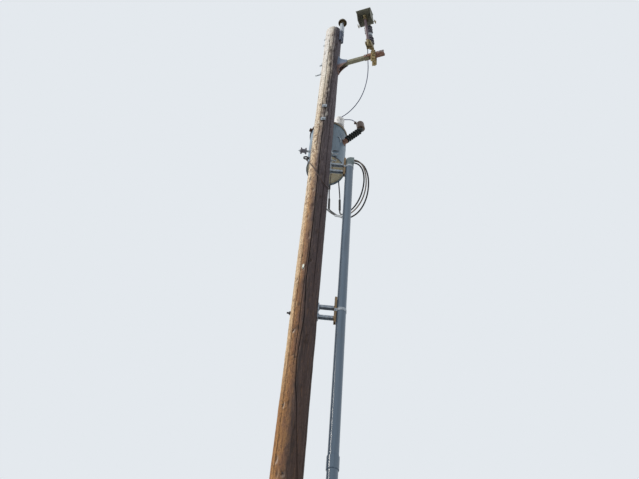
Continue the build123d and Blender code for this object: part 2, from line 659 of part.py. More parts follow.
band_level = CUTOUT_BODY / 2
band_back = CUTOUT_BAND_DIA / 2 + BAND_LUG
lug_face = (
    CUTOUT_FORWARD
    + band_level * sin(radians(CUTOUT_LEAN))
    - band_back * cos(radians(CUTOUT_LEAN)),
    CUTOUT_RISE
    + band_level * cos(radians(CUTOUT_LEAN))
    + band_back * sin(radians(CUTOUT_LEAN)),
)
tongue = CUTOUT_BAND_HEIGHT / 2 + 4
bar_front = clamp_face + HANGER_THICKNESS + HANGER_BAR_THICKNESS
with BuildPart() as cutout_hanger:
    for side in (-1, 1):
        shift = side * (clamp_face + HANGER_THICKNESS / 2)
        with BuildSketch(side_plane(ARM_AZIMUTH, ARM_HEIGHT, HANGER_REACH, shift)):
            with Locations((0, (HANGER_RISE - HANGER_DROP) / 2)):
                RectangleRounded(HANGER_WIDTH, HANGER_RISE + HANGER_DROP, 8)
        extrude(amount=HANGER_THICKNESS / 2, both=True)
    for drop in HANGER_BOLT_DROPS:
        with BuildSketch(side_plane(ARM_AZIMUTH, ARM_HEIGHT - drop, HANGER_REACH)):
            Circle(BOLT_DIA / 2)
        extrude(amount=clamp_face + HANGER_THICKNESS + HANGER_BOLT_TAIL, both=True)
        for side in (-1, 1):
            shift = side * (clamp_face + HANGER_THICKNESS)
            with BuildSketch(side_plane(ARM_AZIMUTH, ARM_HEIGHT - drop, HANGER_REACH, shift)):
                RegularPolygon(BOLT_DIA * 0.9, 6)
            extrude(amount=side * BOLT_HEAD_HEIGHT)
    with BuildSketch(side_plane(ARM_AZIMUTH + 90, ARM_HEIGHT).offset(HANGER_REACH)):
        with BuildLine():
            FilletPolyline(
                (-bar_front, -ARM_DEPTH / 2),
                (-bar_front, HANGER_RISE - 14),
                (
                    -lug_face[0] + (tongue + 22) * sin(radians(CUTOUT_LEAN)),
                    lug_face[1] - (tongue + 22) * cos(radians(CUTOUT_LEAN)),
                ),
                (
                    -lug_face[0] - tongue * sin(radians(CUTOUT_LEAN)),
                    lug_face[1] + tongue * cos(radians(CUTOUT_LEAN)),
                ),
                radius=14,
            )
            offset(amount=HANGER_BAR_THICKNESS, side=Side.RIGHT)
        make_face()
    extrude(amount=HANGER_BAR_WIDTH / 2, both=True)
write(cutout_hanger, "cutout_hanger")

# Cutout insulator: a leaning porcelain body with two groups of sheds and a plain waist
with BuildPart() as cutout_insulator:
    with BuildSketch(cutout_profile()):
        core = CUTOUT_CORE_DIA / 2
        with Locations((core / 2, CUTOUT_BODY / 2)):
            Rectangle(core, CUTOUT_BODY)
        group = (CUTOUT_BODY - CUTOUT_WAIST) / 2
        pitch = group / (CUTOUT_SHEDS + 0.4)
        for start in (0, group + CUTOUT_WAIST):
            for number in range(CUTOUT_SHEDS):
                level = start + pitch * (number + 0.45)
                with BuildLine():
                    Polyline(
                        (core - 2, level + pitch * 0.62),
                        (CUTOUT_SHED_DIA / 2 - 2, level + CUTOUT_SHED_LIP),
                        (CUTOUT_SHED_DIA / 2, level + CUTOUT_SHED_LIP - 2),
                        (CUTOUT_SHED_DIA / 2 - 1, level),
                        (core - 2, level + CUTOUT_SHED_LIP + 2),
                        close=True,
                    )
                make_face()
    revolve(axis=Axis(cutout_foot, cutout_axis))
write(cutout_insulator, "cutout_insulator")

with BuildPart() as cutout_band:
    with BuildSketch(cutout_plane(band_level - CUTOUT_BAND_HEIGHT / 2)):
        Circle(CUTOUT_BAND_DIA / 2)
        with Locations((-band_back / 2, 0)):
            Rectangle(band_back, HANGER_BAR_WIDTH - 4)
        Circle(CUTOUT_CORE_DIA / 2, mode=Mode.SUBTRACT)
    extrude(amount=CUTOUT_BAND_HEIGHT)
write(cutout_band, "cutout_band")

# Top contact: a cap with an arm over the fuse, two hooks beside the hood and a terminal above
contact_level = CUTOUT_BODY + FERRULE_ABOVE + CONTACT_GAP
with BuildPart() as top_contact:
    with BuildSketch(cutout_plane(CUTOUT_BODY)):
        Circle(CAP_DIA / 2)
    extrude(amount=CAP_HEIGHT, taper=6)
    with BuildSketch(cutout_plane(contact_level)):
        with Locations((FUSE_OFFSET / 2 + 4, 0)):
            RectangleRounded(FUSE_OFFSET + 44, CASTING_ARM_WIDTH, 8)
    extrude(amount=CASTING_ARM_THICKNESS)
    with BuildSketch(cutout_plane(CUTOUT_BODY + CAP_HEIGHT / 2)):
        Circle(CAP_DIA / 2 - 10)
    extrude(amount=contact_level + CASTING_ARM_THICKNESS - CUTOUT_BODY - CAP_HEIGHT / 2)
    contact_top = contact_level + CASTING_ARM_THICKNESS
    with BuildSketch(cutout_plane(contact_top, TERMINAL_BACK, TERMINAL_SIDE)):
        Circle(BOLT_DIA / 2)
    extrude(amount=TERMINAL_RISE)
    with BuildSketch(cutout_plane(contact_top + TERMINAL_RISE, TERMINAL_BACK, TERMINAL_SIDE)):
        RectangleRounded(TERMINAL_DEPTH, TERMINAL_WIDTH, WIRE_LUG_WALL)
    extrude(amount=TERMINAL_HEIGHT)
    for side in (-1, 1):
        with BuildLine() as hook_line:
            level = contact_level + CASTING_ARM_THICKNESS / 2
            hook_shift = HOOD_WIDTH / 2 + HOOK_GAP
            spots = (
                (level, HOOK_DIA, HOOK_DIA),
                (level, HOOK_DIA, hook_shift),
                (level - HOOK_DROP + 6, 52, hook_shift),
                (level - HOOK_DROP, HOOK_REACH - 8, hook_shift),
                (level - HOOK_DROP + 26, HOOK_REACH, hook_shift),
            )
            FilletPolyline(
                [
                    cutout_foot + cutout_axis * a + cutout_front * f + cutout_side * side * s
                    for a, f, s in spots
                ],
                radius=12,
            )
        with BuildSketch(Plane(origin=hook_line.line @ 0, z_dir=hook_line.line % 0)):
            Circle(HOOK_DIA / 2)
        sweep(path=hook_line.line)
write(top_contact, "top_contact")

# Arc hood: a box open at its front and bottom, threaded on the top contact's arm
hood_top = contact_level + HOOD_RAISE
with BuildPart() as arc_hood:
    with BuildSketch(cutout_plane(hood_top - HOOD_HEIGHT)):
        with Locations(((HOOD_BACK + HOOD_FRONT) / 2, 0)):
            Rectangle(HOOD_FRONT - HOOD_BACK, HOOD_WIDTH)
        with Locations(((HOOD_BACK + HOOD_FRONT) / 2 + HOOD_WALL, 0)):
            Rectangle(HOOD_FRONT - HOOD_BACK, HOOD_WIDTH - 2 * HOOD_WALL, mode=Mode.SUBTRACT)
    extrude(amount=HOOD_HEIGHT)
    with BuildSketch(cutout_plane(hood_top)):
        with Locations(((HOOD_BACK + HOOD_FRONT + HOOD_LIP) / 2, 0)):
            Rectangle(HOOD_FRONT - HOOD_BACK + HOOD_LIP, HOOD_WIDTH + HOOD_LIP)
    extrude(amount=HOOD_WALL)
    add(top_contact.part, mode=Mode.SUBTRACT)
write(arc_hood, "arc_hood")

# Hinge: a cap under the insulator with two cheeks whose open slots hold the trunnion
trunnion_level = -FUSE_DROP
cheek_shift = CHEEK_GAP / 2 + CHEEK_THICKNESS / 2
web_front = FUSE_OFFSET - HINGE_WEB_CLEARANCE
with BuildPart() as cutout_hinge:
    with BuildSketch(cutout_plane(0)):
        Circle(CAP_DIA / 2)
    extrude(amount=-CAP_HEIGHT, taper=6)
    with BuildSketch(cutout_plane(-CAP_HEIGHT)):
        Circle(CAP_DIA / 2 - 8)
    extrude(amount=-HINGE_STEM)
    with BuildSketch(cutout_profile()):
        with BuildLine():
            Polyline(
                (0, -CAP_HEIGHT + 4),
                (web_front, -CAP_HEIGHT + 4),
                (web_front, -FUSE_DROP - 26),
                (0, -CAP_HEIGHT - HINGE_STEM),
                close=True,
            )
        make_face()
    extrude(amount=CHEEK_GAP / 2 + CHEEK_THICKNESS / 2, both=True)
    for side in (-1, 1):
        with BuildSketch(cutout_profile(side * cheek_shift)):
            with BuildLine():
                Polyline(
                    (web_front - 24, -CAP_HEIGHT + 4),
                    (FUSE_OFFSET + 4, trunnion_level + 30),
                    (FUSE_OFFSET + 24, trunnion_level + 22),
                    (FUSE_OFFSET + 22, trunnion_level - 18),
                    (web_front - 24, -FUSE_DROP - 26),
                    close=True,
                )
            make_face()
            with Locations((FUSE_OFFSET, trunnion_level)):
                Circle(TRUNNION_DIA / 2 + TRUNNION_CLEARANCE, mode=Mode.SUBTRACT)
            with Locations((FUSE_OFFSET, trunnion_level + 20)):
                Rectangle(TRUNNION_DIA + 2 * TRUNNION_CLEARANCE, 40, mode=Mode.SUBTRACT)
        extrude(amount=CHEEK_THICKNESS / 2, both=True)
    lug_spot = Vector(*HV_LEAD[0])
    lug_along = (lug_spot - cutout_foot).dot(cutout_axis)
    lug_side = (lug_spot - cutout_foot).dot(cutout_side)
    lug_front = (lug_spot - cutout_foot).dot(cutout_front)
    lug_low = lug_along - WIRE_LUG_DEPTH
    with BuildSketch(cutout_plane(lug_low, lug_front, lug_side)):
        RectangleRounded(WIRE_LUG_LENGTH, WIRE_LUG_WIDTH, WIRE_LUG_WALL)
    extrude(amount=WIRE_LUG_DEPTH + WIRE_GRIP)
    with BuildSketch(cutout_plane(lug_low, lug_front / 2, lug_side / 2)):
        Rectangle(WIRE_LUG_WIDTH, abs(lug_side) + 2 * WIRE_LUG_WALL)
    extrude(amount=CHEEK_THICKNESS)
    add(wire_seat(HV_LEAD, 0, HV_WIRE_DIA), mode=Mode.SUBTRACT)
write(cutout_hinge, "cutout_hinge")

# Fuse holder: a tube between two fittings, which swings on its trunnion
ferrule_top = CUTOUT_BODY + FERRULE_ABOVE
fuse_axis = Axis(cutout_foot + cutout_front * FUSE_OFFSET, cutout_axis)
with BuildPart() as fuse_tube:
    with BuildSketch(cutout_plane(trunnion_level + LOWER_FITTING_TOP, FUSE_OFFSET)):
        Circle(FUSE_TUBE_DIA / 2)
        Circle(FUSE_TUBE_BORE / 2, mode=Mode.SUBTRACT)
    extrude(amount=ferrule_top - FERRULE_HEIGHT - trunnion_level - LOWER_FITTING_TOP)
write(fuse_tube, "fuse_tube")

with BuildPart() as fuse_top_fitting:
    with BuildSketch(cutout_plane(ferrule_top - FERRULE_HEIGHT, FUSE_OFFSET)):
        Circle(FERRULE_DIA / 2)
    extrude(amount=FERRULE_HEIGHT - 10)
    with BuildSketch(cutout_plane(ferrule_top - 10, FUSE_OFFSET)):
        Circle(FERRULE_DIA / 2)
    extrude(amount=10, taper=35)
    with BuildSketch(cutout_profile()):
        with Locations((FUSE_OFFSET + FERRULE_DIA / 2 + PULL_RING_DIA / 2 - 3, ferrule_top - 26)):
            Circle(PULL_RING_DIA / 2)
            Circle(PULL_RING_DIA / 2 - PULL_RING_BAR, mode=Mode.SUBTRACT)
    extrude(amount=PULL_RING_BAR / 2, both=True)
write(fuse_top_fitting, "fuse_top_fitting")

with BuildPart() as fuse_low_fitting:
    with BuildSketch(cutout_plane(trunnion_level + LOWER_FITTING_TOP, FUSE_OFFSET)):
        Circle(FERRULE_DIA / 2)
    extrude(amount=-LOWER_FITTING_LENGTH)
    with BuildSketch(cutout_profile()):
        with Locations((FUSE_OFFSET, trunnion_level)):
            Circle(TRUNNION_DIA / 2)
    extrude(amount=TRUNNION_LENGTH / 2, both=True)
write(fuse_low_fitting, "fuse_low_fitting")

# Transformer tank: a shell, with its bottom and lid as pieces of their own
tank_centre = outward(TANK_AZIMUTH) * TANK_OFFSET
tank_radius = TANK_DIA / 2


def tank_plane(height):
    return Plane(origin=tank_centre + Vector(0, 0, height))


def tank_radial(azimuth, height, reach):
    """Square to an azimuth from the tank's own axis, y up and the normal away from it."""
    out = outward(azimuth)
    spot = tank_centre + out * reach + Vector(0, 0, height)
    return Plane(origin=spot, x_dir=Vector(-out.Y, out.X, 0), z_dir=out)


with BuildPart() as tank_form:
    with BuildSketch(tank_plane(TANK_BOTTOM)):
        Circle(tank_radius)
    extrude(amount=TANK_HEIGHT)

with BuildPart() as tank_shell:
    add(tank_form.part)
    with BuildSketch(tank_plane(TANK_BOTTOM)):
        Circle(tank_radius - TANK_WALL)
    extrude(amount=BOTTOM_RECESS + BOTTOM_THICKNESS, mode=Mode.SUBTRACT)
    with BuildSketch(tank_radial(GROUND_LUG_AZIMUTH, GROUND_LUG_HEIGHT, tank_radius - TANK_WALL)):
        RectangleRounded(GROUND_LUG_WIDTH, GROUND_LUG_WIDTH + 6, WIRE_LUG_WALL)
    extrude(amount=TANK_WALL + GROUND_LUG_REACH)
    add(wire_seat(BOND_WIRE, -1, BOND_WIRE_DIA), mode=Mode.SUBTRACT)
write(tank_shell, "tank_shell")

with BuildPart() as tank_bottom:
    with BuildSketch(tank_plane(TANK_BOTTOM + BOTTOM_RECESS)):
        Circle(tank_radius - TANK_WALL)
    extrude(amount=BOTTOM_THICKNESS)
write(tank_bottom, "tank_bottom")

lid_radius = tank_radius + LID_OVERHANG
boss_top = TANK_TOP + LID_DOME
dome_reach = tank_radius - LID_RIM
dome_rise = LID_DOME - LID_THICKNESS
dome_radius = (dome_reach**2 + dome_rise**2) / (2 * dome_rise)
dome_drop = dome_radius - (dome_radius**2 - (dome_reach / 2) ** 2) ** 0.5
with BuildPart() as tank_lid:
    with BuildSketch(Plane(origin=tank_centre, x_dir=(1, 0, 0), z_dir=(0, -1, 0))):
        with BuildLine():
            Polyline(
                (0, TANK_TOP + LID_DOME),
                (0, TANK_TOP),
                (lid_radius, TANK_TOP),
                (lid_radius, TANK_TOP + LID_THICKNESS),
                (dome_reach, TANK_TOP + LID_THICKNESS),
            )
            ThreePointArc(
                (dome_reach, TANK_TOP + LID_THICKNESS),
                (dome_reach / 2, TANK_TOP + LID_DOME - dome_drop),
                (0, TANK_TOP + LID_DOME),
            )
        make_face()
    revolve(axis=Axis(tank_centre, (0, 0, 1)))
    hv_spot = tank_centre + outward(HV_AZIMUTH) * HV_OFFSET
    with BuildSketch(Plane(origin=hv_spot + Vector(0, 0, TANK_TOP + LID_THICKNESS))):
        Circle(HV_BODY_DIA / 2 + HV_BOSS_RIM)
    extrude(amount=LID_DOME - LID_THICKNESS)
write(tank_lid, "tank_lid")

# The band clamps the lid's rim to a lip on the wall
with BuildPart() as lid_band:
    with BuildSketch(tank_plane(TANK_TOP - BAND_HEIGHT + LID_THICKNESS + 3)):
        Circle(lid_radius + BAND_THICKNESS)
        Circle(tank_radius, mode=Mode.SUBTRACT)
        with PolarLocations(lid_radius + BAND_THICKNESS + 8, 1, BAND_LUG_AZIMUTH):
            Rectangle(30, 34)
        Circle(tank_radius, mode=Mode.SUBTRACT)
    extrude(amount=BAND_HEIGHT)
    add(tank_lid.part, mode=Mode.SUBTRACT)
write(lid_band, "lid_band")

# Hangers: two pressed brackets between the tank's wall and the wood
with BuildPart() as tank_hangers:
    for height in TANK_BOLT_HEIGHTS:
        skin = pole_radius(height)
        with BuildSketch(radial_plane(TANK_AZIMUTH, height, skin - 2 * WASHER_SEAT)):
            Rectangle(HANGER_LUG_WIDTH, HANGER_LUG_HEIGHT)
        extrude(amount=TANK_OFFSET - tank_radius - skin + 2 * WASHER_SEAT + 30)
        with BuildSketch(radial_plane(TANK_AZIMUTH, height, skin + HANGER_LUG_WALL)):
            Rectangle(HANGER_LUG_WIDTH - 2 * HANGER_LUG_WALL, HANGER_LUG_HEIGHT + 2)
        extrude(amount=TANK_OFFSET, mode=Mode.SUBTRACT)
        with BuildSketch(radial_plane(TANK_AZIMUTH, height, 0)):
            Circle(BOLT_HOLE_DIA / 2)
        extrude(amount=TANK_OFFSET - tank_radius, mode=Mode.SUBTRACT)
    add(pole_form.part, mode=Mode.SUBTRACT)
    add(tank_form.part, mode=Mode.SUBTRACT)
write(tank_hangers, "tank_hangers")

tank_bolts = [
    (height, WASHER_THICKNESS, HANGER_LUG_WALL + TANK_BOLT_TAIL) for height in TANK_BOLT_HEIGHTS
]
through_bolts(
    "tank_bolts", TANK_AZIMUTH + 180, tank_bolts, washer_at_head=True, nut_lift=HANGER_LUG_WALL
)

# High-voltage bushing: porcelain with sheds on the lid's boss, under a moulded cover that carries
# the terminal
hv_axis = Axis(hv_spot, (0, 0, 1))
hv_bare = HV_BODY_HEIGHT - HV_COVER_HEIGHT + HV_COVER_WALL
with BuildPart() as hv_bushing:
    with BuildSketch(Plane(origin=hv_spot, x_dir=(1, 0, 0), z_dir=(0, -1, 0))):
        with Locations((HV_BODY_DIA / 4, boss_top + HV_BODY_HEIGHT / 2)):
            Rectangle(HV_BODY_DIA / 2, HV_BODY_HEIGHT)
        for number in range(HV_SHEDS):
            level = boss_top + hv_bare * (number + 0.4) / HV_SHEDS
            with BuildLine():
                Polyline(
                    (HV_BODY_DIA / 2 - 2, level + 20),
                    (HV_SHED_DIA / 2 - 2, level + 5),
                    (HV_SHED_DIA / 2, level + 3),
                    (HV_SHED_DIA / 2 - 1, level),
                    (HV_BODY_DIA / 2 - 2, level + 7),
                    close=True,
                )
            make_face()
    revolve(axis=hv_axis)
write(hv_bushing, "hv_bushing")

cover_top = boss_top + HV_BODY_HEIGHT + FIT_GAP + HV_COVER_WALL
with BuildPart() as hv_cover:
    with BuildSketch(Plane(origin=hv_spot + Vector(0, 0, cover_top))):
        Circle(HV_COVER_DIA / 2)
    extrude(amount=-HV_COVER_HEIGHT)
    fillet(hv_cover.edges().sort_by(Axis.Z)[-1], HV_COVER_DIA / 3)
    with BuildSketch(Plane(origin=hv_spot + Vector(0, 0, cover_top - HV_COVER_HEIGHT))):
        Circle(HV_BODY_DIA / 2 + FIT_GAP)
    extrude(amount=HV_COVER_HEIGHT - HV_COVER_WALL, mode=Mode.SUBTRACT)
    with BuildSketch(Plane(origin=hv_spot + Vector(0, 0, cover_top - HV_COVER_WALL / 2))):
        RectangleRounded(HV_TERMINAL, HV_TERMINAL, 5)
    extrude(amount=HV_TERMINAL_HEIGHT + HV_COVER_WALL / 2)
    add(wire_seat(HV_LEAD, -1, HV_WIRE_DIA), mode=Mode.SUBTRACT)
    add(wire_seat(ARRESTER_JUMPER, 0, HV_WIRE_DIA), mode=Mode.SUBTRACT)
write(hv_cover, "hv_cover")

# Low-voltage bushings: three stubs on the far wall, each with a clamp that its lead hangs from
with BuildPart() as lv_bushings:
    for azimuth in LV_AZIMUTHS:
        with BuildSketch(tank_radial(azimuth, LV_HEIGHT, tank_radius - TANK_WALL)):
            Circle(LV_DIA / 2)
        extrude(amount=LV_LENGTH + TANK_WALL)
        with BuildSketch(tank_radial(azimuth, LV_HEIGHT, tank_radius + LV_LENGTH / 2)):
            Circle(LV_DIA / 2 + LV_COLLAR_RIM)
        extrude(amount=LV_COLLAR_WIDTH)
    add(tank_form.part, mode=Mode.SUBTRACT)
write(lv_bushings, "lv_bushings")

with BuildPart() as lv_clamps:
    for azimuth in LV_AZIMUTHS:
        with BuildSketch(tank_radial(azimuth, LV_HEIGHT, tank_radius + LV_LENGTH)):
            RectangleRounded(LV_CLAMP, LV_CLAMP + 6, 5)
        extrude(amount=LV_CLAMP)
    for route in (LEAD_RIGHT, LEAD_MIDDLE, LEAD_LEFT):
        add(wire_seat(route, 0, LEAD_DIA), mode=Mode.SUBTRACT)
write(lv_clamps, "lv_clamps")

# Surge arrester: a leaning stack of sheds on a bracket beside the tank. It ends in a knuckle, cut
# flat where the upright cap stands on it
arrester_foot = (
    tank_centre
    + outward(ARRESTER_AZIMUTH) * (tank_radius + ARRESTER_STANDOFF)
    + Vector(0, 0, ARRESTER_FOOT_HEIGHT)
)
arrester_axis = outward(ARRESTER_TURN) * sin(radians(ARRESTER_LEAN)) + Vector(
    0, 0, cos(radians(ARRESTER_LEAN))
)


def arrester_plane(along):
    return Plane(origin=arrester_foot + arrester_axis * along, z_dir=arrester_axis)


with BuildPart() as arrester_bracket:
    pad_height = ARRESTER_FOOT_HEIGHT - ARRESTER_PAD_DROP
    with BuildSketch(tank_radial(ARRESTER_AZIMUTH, pad_height, tank_radius - 2 * TANK_WALL)):
        RectangleRounded(ARRESTER_PAD_WIDTH, ARRESTER_PAD_HEIGHT, TANK_WALL)
    extrude(amount=2 * TANK_WALL + HANGER_LUG_WALL)
    with BuildSketch(tank_radial(ARRESTER_AZIMUTH, pad_height, tank_radius)):
        Rectangle(ARRESTER_BAR_WIDTH, ARRESTER_PAD_DROP)
    extrude(amount=ARRESTER_STANDOFF + 16)
    with BuildSketch(arrester_plane(-ARRESTER_SOCKET)):
        Circle(ARRESTER_CORE_DIA / 2 + 3)
    extrude(amount=ARRESTER_SOCKET)
    add(tank_form.part, mode=Mode.SUBTRACT)
write(arrester_bracket, "arrester_bracket")

arrester_body = ARRESTER_SHED_PITCH * ARRESTER_SHEDS + 14
arrester_head = arrester_foot + arrester_axis * arrester_body
cap_foot = arrester_head + Vector(0, 0, ARRESTER_CAP_RAISE)
cap_axis = Vector(sin(radians(ARRESTER_CAP_LEAN)), 0, cos(radians(ARRESTER_CAP_LEAN)))
cap_plane = Plane(origin=cap_foot, z_dir=cap_axis)
with BuildPart() as arrester:
    arrester_side = Plane(
        origin=arrester_foot, x_dir=outward(ARRESTER_TURN + 90), z_dir=arrester_axis.cross(
            outward(ARRESTER_TURN + 90)) * -1
    )
    with BuildSketch(arrester_side):
        with Locations((ARRESTER_CORE_DIA / 4, arrester_body / 2)):
            Rectangle(ARRESTER_CORE_DIA / 2, arrester_body)
        for number in range(ARRESTER_SHEDS):
            level = 10 + ARRESTER_SHED_PITCH * number
            with BuildLine():
                Polyline(
                    (ARRESTER_CORE_DIA / 2 - 2, level + 18),
                    (ARRESTER_SHED_DIA / 2, level + 4),
                    (ARRESTER_SHED_DIA / 2, level),
                    (ARRESTER_CORE_DIA / 2 - 2, level + 5),
                    close=True,
                )
            make_face()
    revolve(axis=Axis(arrester_foot, arrester_axis))
    with Locations(arrester_head):
        Sphere(ARRESTER_KNUCKLE_DIA / 2)
    split(bisect_by=cap_plane, keep=Keep.BOTTOM)
write(arrester, "arrester")

with BuildPart() as arrester_cap:
    with BuildSketch(cap_plane):
        Circle(ARRESTER_CAP_DIA / 2)
    extrude(amount=ARRESTER_CAP_HEIGHT)
    fillet(
        arrester_cap.edges().sort_by(Axis(cap_foot, cap_axis))[-1],
        ARRESTER_CAP_DIA / 4,
    )
    stud_spot = Vector(*ARRESTER_JUMPER[-1])
    stud_plane = Plane(origin=stud_spot - Vector(0, 0, WIRE_LUG_DEPTH), z_dir=(0, 0, 1))
    with BuildSketch(stud_plane):
        RectangleRounded(WIRE_LUG_LENGTH, WIRE_LUG_WIDTH, WIRE_LUG_WALL)
        with Locations((STUD_REACH / 2, 0)):
            Rectangle(STUD_REACH, STUD_WIDTH)
    extrude(amount=STUD_THICKNESS)
    with BuildSketch(stud_plane):
        RectangleRounded(WIRE_LUG_LENGTH, WIRE_LUG_WIDTH, WIRE_LUG_WALL)
    extrude(amount=WIRE_LUG_DEPTH + WIRE_GRIP)
    add(wire_seat(ARRESTER_JUMPER, -1, HV_WIRE_DIA), mode=Mode.SUBTRACT)
write(arrester_cap, "arrester_cap")

# Riser: two lengths of plastic conduit, closed below by the ground and above by the weatherhead
riser_spot = Vector(RISER_OFFSET, 0, 0)
with BuildPart() as riser_low:
    with BuildSketch(Plane(origin=riser_spot)):
        Circle(RISER_DIA / 2)
    extrude(amount=RISER_JOINT)
write(riser_low, "riser_low")

with BuildPart() as riser_top:
    with BuildSketch(Plane(origin=riser_spot + Vector(0, 0, RISER_JOINT))):
        Circle(RISER_DIA / 2)
    extrude(amount=RISER_TOP - RISER_JOINT)
write(riser_top, "riser_top")

with BuildPart() as riser_coupling:
    with BuildSketch(Plane(origin=riser_spot + Vector(0, 0, RISER_JOINT - COUPLING_LENGTH / 2))):
        Circle(COUPLING_DIA / 2)
        Circle(RISER_DIA / 2 + FIT_GAP, mode=Mode.SUBTRACT)
    extrude(amount=COUPLING_LENGTH)
    chamfer(riser_coupling.edges().filter_by(GeomType.CIRCLE).sort_by(SortBy.RADIUS)[-2:], 2)
write(riser_coupling, "riser_coupling")

# Weatherhead: a dome that carries the conduit's line on, with a mouth that the cables leave by
head_top = RISER_TOP + HEAD_HEIGHT
mouth_face = RISER_OFFSET + HEAD_MOUTH_REACH
mouth_top = head_top - HEAD_WALL
mouth_low = mouth_top - HEAD_MOUTH_DROP
mouth_spot = (mouth_face, 0, (mouth_low + mouth_top) / 2)
with BuildPart() as weatherhead:
    with BuildSketch(Plane(origin=riser_spot + Vector(0, 0, RISER_TOP))):
        Circle(RISER_DIA / 2)
    extrude(amount=HEAD_HEIGHT)
    fillet(weatherhead.edges().sort_by(Axis.Z)[-1], RISER_DIA / 2 - 8)
    with BuildSketch(Plane(origin=mouth_spot, x_dir=(0, 1, 0), z_dir=(1, 0, 0))):
        RectangleRounded(HEAD_MOUTH_WIDTH, HEAD_MOUTH_DROP, HEAD_MOUTH_ROUND)
    extrude(amount=-HEAD_MOUTH_REACH)
    with BuildSketch(Plane(origin=(RISER_OFFSET, 0, 0), x_dir=(1, 0, 0), z_dir=(0, -1, 0))):
        with BuildLine():
            Polyline(
                (0, mouth_low - HEAD_MOUTH_SLOPE),
                (HEAD_MOUTH_REACH, mouth_low),
                (0, mouth_low),
                close=True,
            )
        make_face()
    extrude(amount=HEAD_MOUTH_WIDTH / 2 - HEAD_MOUTH_ROUND, both=True)
    with BuildSketch(Plane(origin=mouth_spot, x_dir=(0, 1, 0), z_dir=(1, 0, 0))):
        Rectangle(HEAD_MOUTH_WIDTH - 2 * HEAD_WALL, HEAD_MOUTH_DROP - 2 * HEAD_WALL)
    extrude(amount=-(HEAD_MOUTH_REACH + 2), mode=Mode.SUBTRACT)
write(weatherhead, "weatherhead")

RISER_ROUTES = (
    (RISER_CABLE_OUTER, RISER_CABLE_DIA),
    (RISER_CABLE_INNER, RISER_CABLE_DIA),
    (RISER_CABLE_NEUTRAL, LEAD_DIA),
)
with BuildPart() as weatherhead_insert:
    with BuildSketch(Plane(origin=mouth_spot, x_dir=(0, 1, 0), z_dir=(1, 0, 0))):
        Rectangle(HEAD_MOUTH_WIDTH - 2 * HEAD_WALL, HEAD_MOUTH_DROP - 2 * HEAD_WALL)
    extrude(amount=-HEAD_INSERT)
    for route, diameter in RISER_ROUTES:
        add(wire_seat(route, 0, diameter), mode=Mode.SUBTRACT)
write(weatherhead_insert, "weatherhead_insert")

# Standoffs: a curved plate with its two lag screws, two arms and an upright strut beside the conduit
strut_reach = RISER_OFFSET - RISER_DIA / 2 - STRUT_DEPTH
for number, height in enumerate(STANDOFF_HEIGHTS, start=1):
    skin = pole_radius(height)
    with BuildPart() as standoff:
        with BuildSketch(radial_plane(0, height, skin - 2 * WASHER_SEAT)):
            with Locations((0, STANDOFF_PLATE_SHIFT)):
                RectangleRounded(STANDOFF_PLATE_WIDTH, STANDOFF_PLATE_HEIGHT, 8)
        extrude(amount=2 * WASHER_SEAT + STANDOFF_PLATE_THICKNESS)
        for rise in STANDOFF_ARM_RISES:
            with BuildSketch(radial_plane(0, height + rise, skin)):
                Rectangle(STANDOFF_ARM_WIDTH, STANDOFF_ARM_HEIGHT)
            extrude(amount=strut_reach - skin)
            with BuildSketch(radial_plane(0, height + rise, skin + STANDOFF_PLATE_THICKNESS)):
                with Locations((0, -STANDOFF_ARM_WALL)):
                    Rectangle(STANDOFF_ARM_WIDTH - 2 * STANDOFF_ARM_WALL, STANDOFF_ARM_HEIGHT)
            extrude(amount=RISER_OFFSET, mode=Mode.SUBTRACT)
        with BuildSketch(level_plane(0, height - STRUT_LENGTH / 2 + STRUT_SHIFT, strut_reach)):
            with Locations((STRUT_DEPTH / 2, 0)):
                Rectangle(STRUT_DEPTH, STRUT_WIDTH)
            with Locations((STRUT_DEPTH / 2 + STRUT_WALL, 0)):
                Rectangle(STRUT_DEPTH, STRUT_WIDTH - 2 * STRUT_WALL, mode=Mode.SUBTRACT)
        extrude(amount=STRUT_LENGTH)
        add(pole_form.part, mode=Mode.SUBTRACT)
        for rise in LAG_RISES:
            with BuildSketch(radial_plane(0, height + rise, pole_radius(height) - LAG_LENGTH)):
                Circle(LAG_DIA / 2)
            extrude(amount=LAG_LENGTH + STANDOFF_PLATE_THICKNESS)
            with BuildSketch(radial_plane(0, height + rise, skin + STANDOFF_PLATE_THICKNESS)):
                RegularPolygon(LAG_HEAD / 2, 6)
            extrude(amount=LAG_HEAD_HEIGHT)
    write(standoff, f"standoff_{number}")

    with BuildPart() as strap:
        strap_low = height + RISER_STRAP_RISE - RISER_STRAP_WIDTH / 2
        with BuildSketch(Plane(origin=riser_spot + Vector(0, 0, strap_low))):
            Circle(RISER_DIA / 2 + RISER_STRAP_THICKNESS)
            with Locations((-RISER_DIA / 4 - STRUT_DEPTH / 2, 0)):
                Rectangle(RISER_DIA / 2 + STRUT_DEPTH, STRUT_WIDTH + 2 * RISER_STRAP_THICKNESS)
            with Locations((-RISER_DIA / 4 - STRUT_DEPTH, 0)):
                Rectangle(RISER_DIA / 2 + 2 * STRUT_DEPTH, STRUT_WIDTH, mode=Mode.SUBTRACT)
            Circle(RISER_DIA / 2, mode=Mode.SUBTRACT)
        extrude(amount=RISER_STRAP_WIDTH)
    write(strap, f"riser_strap_{number}")

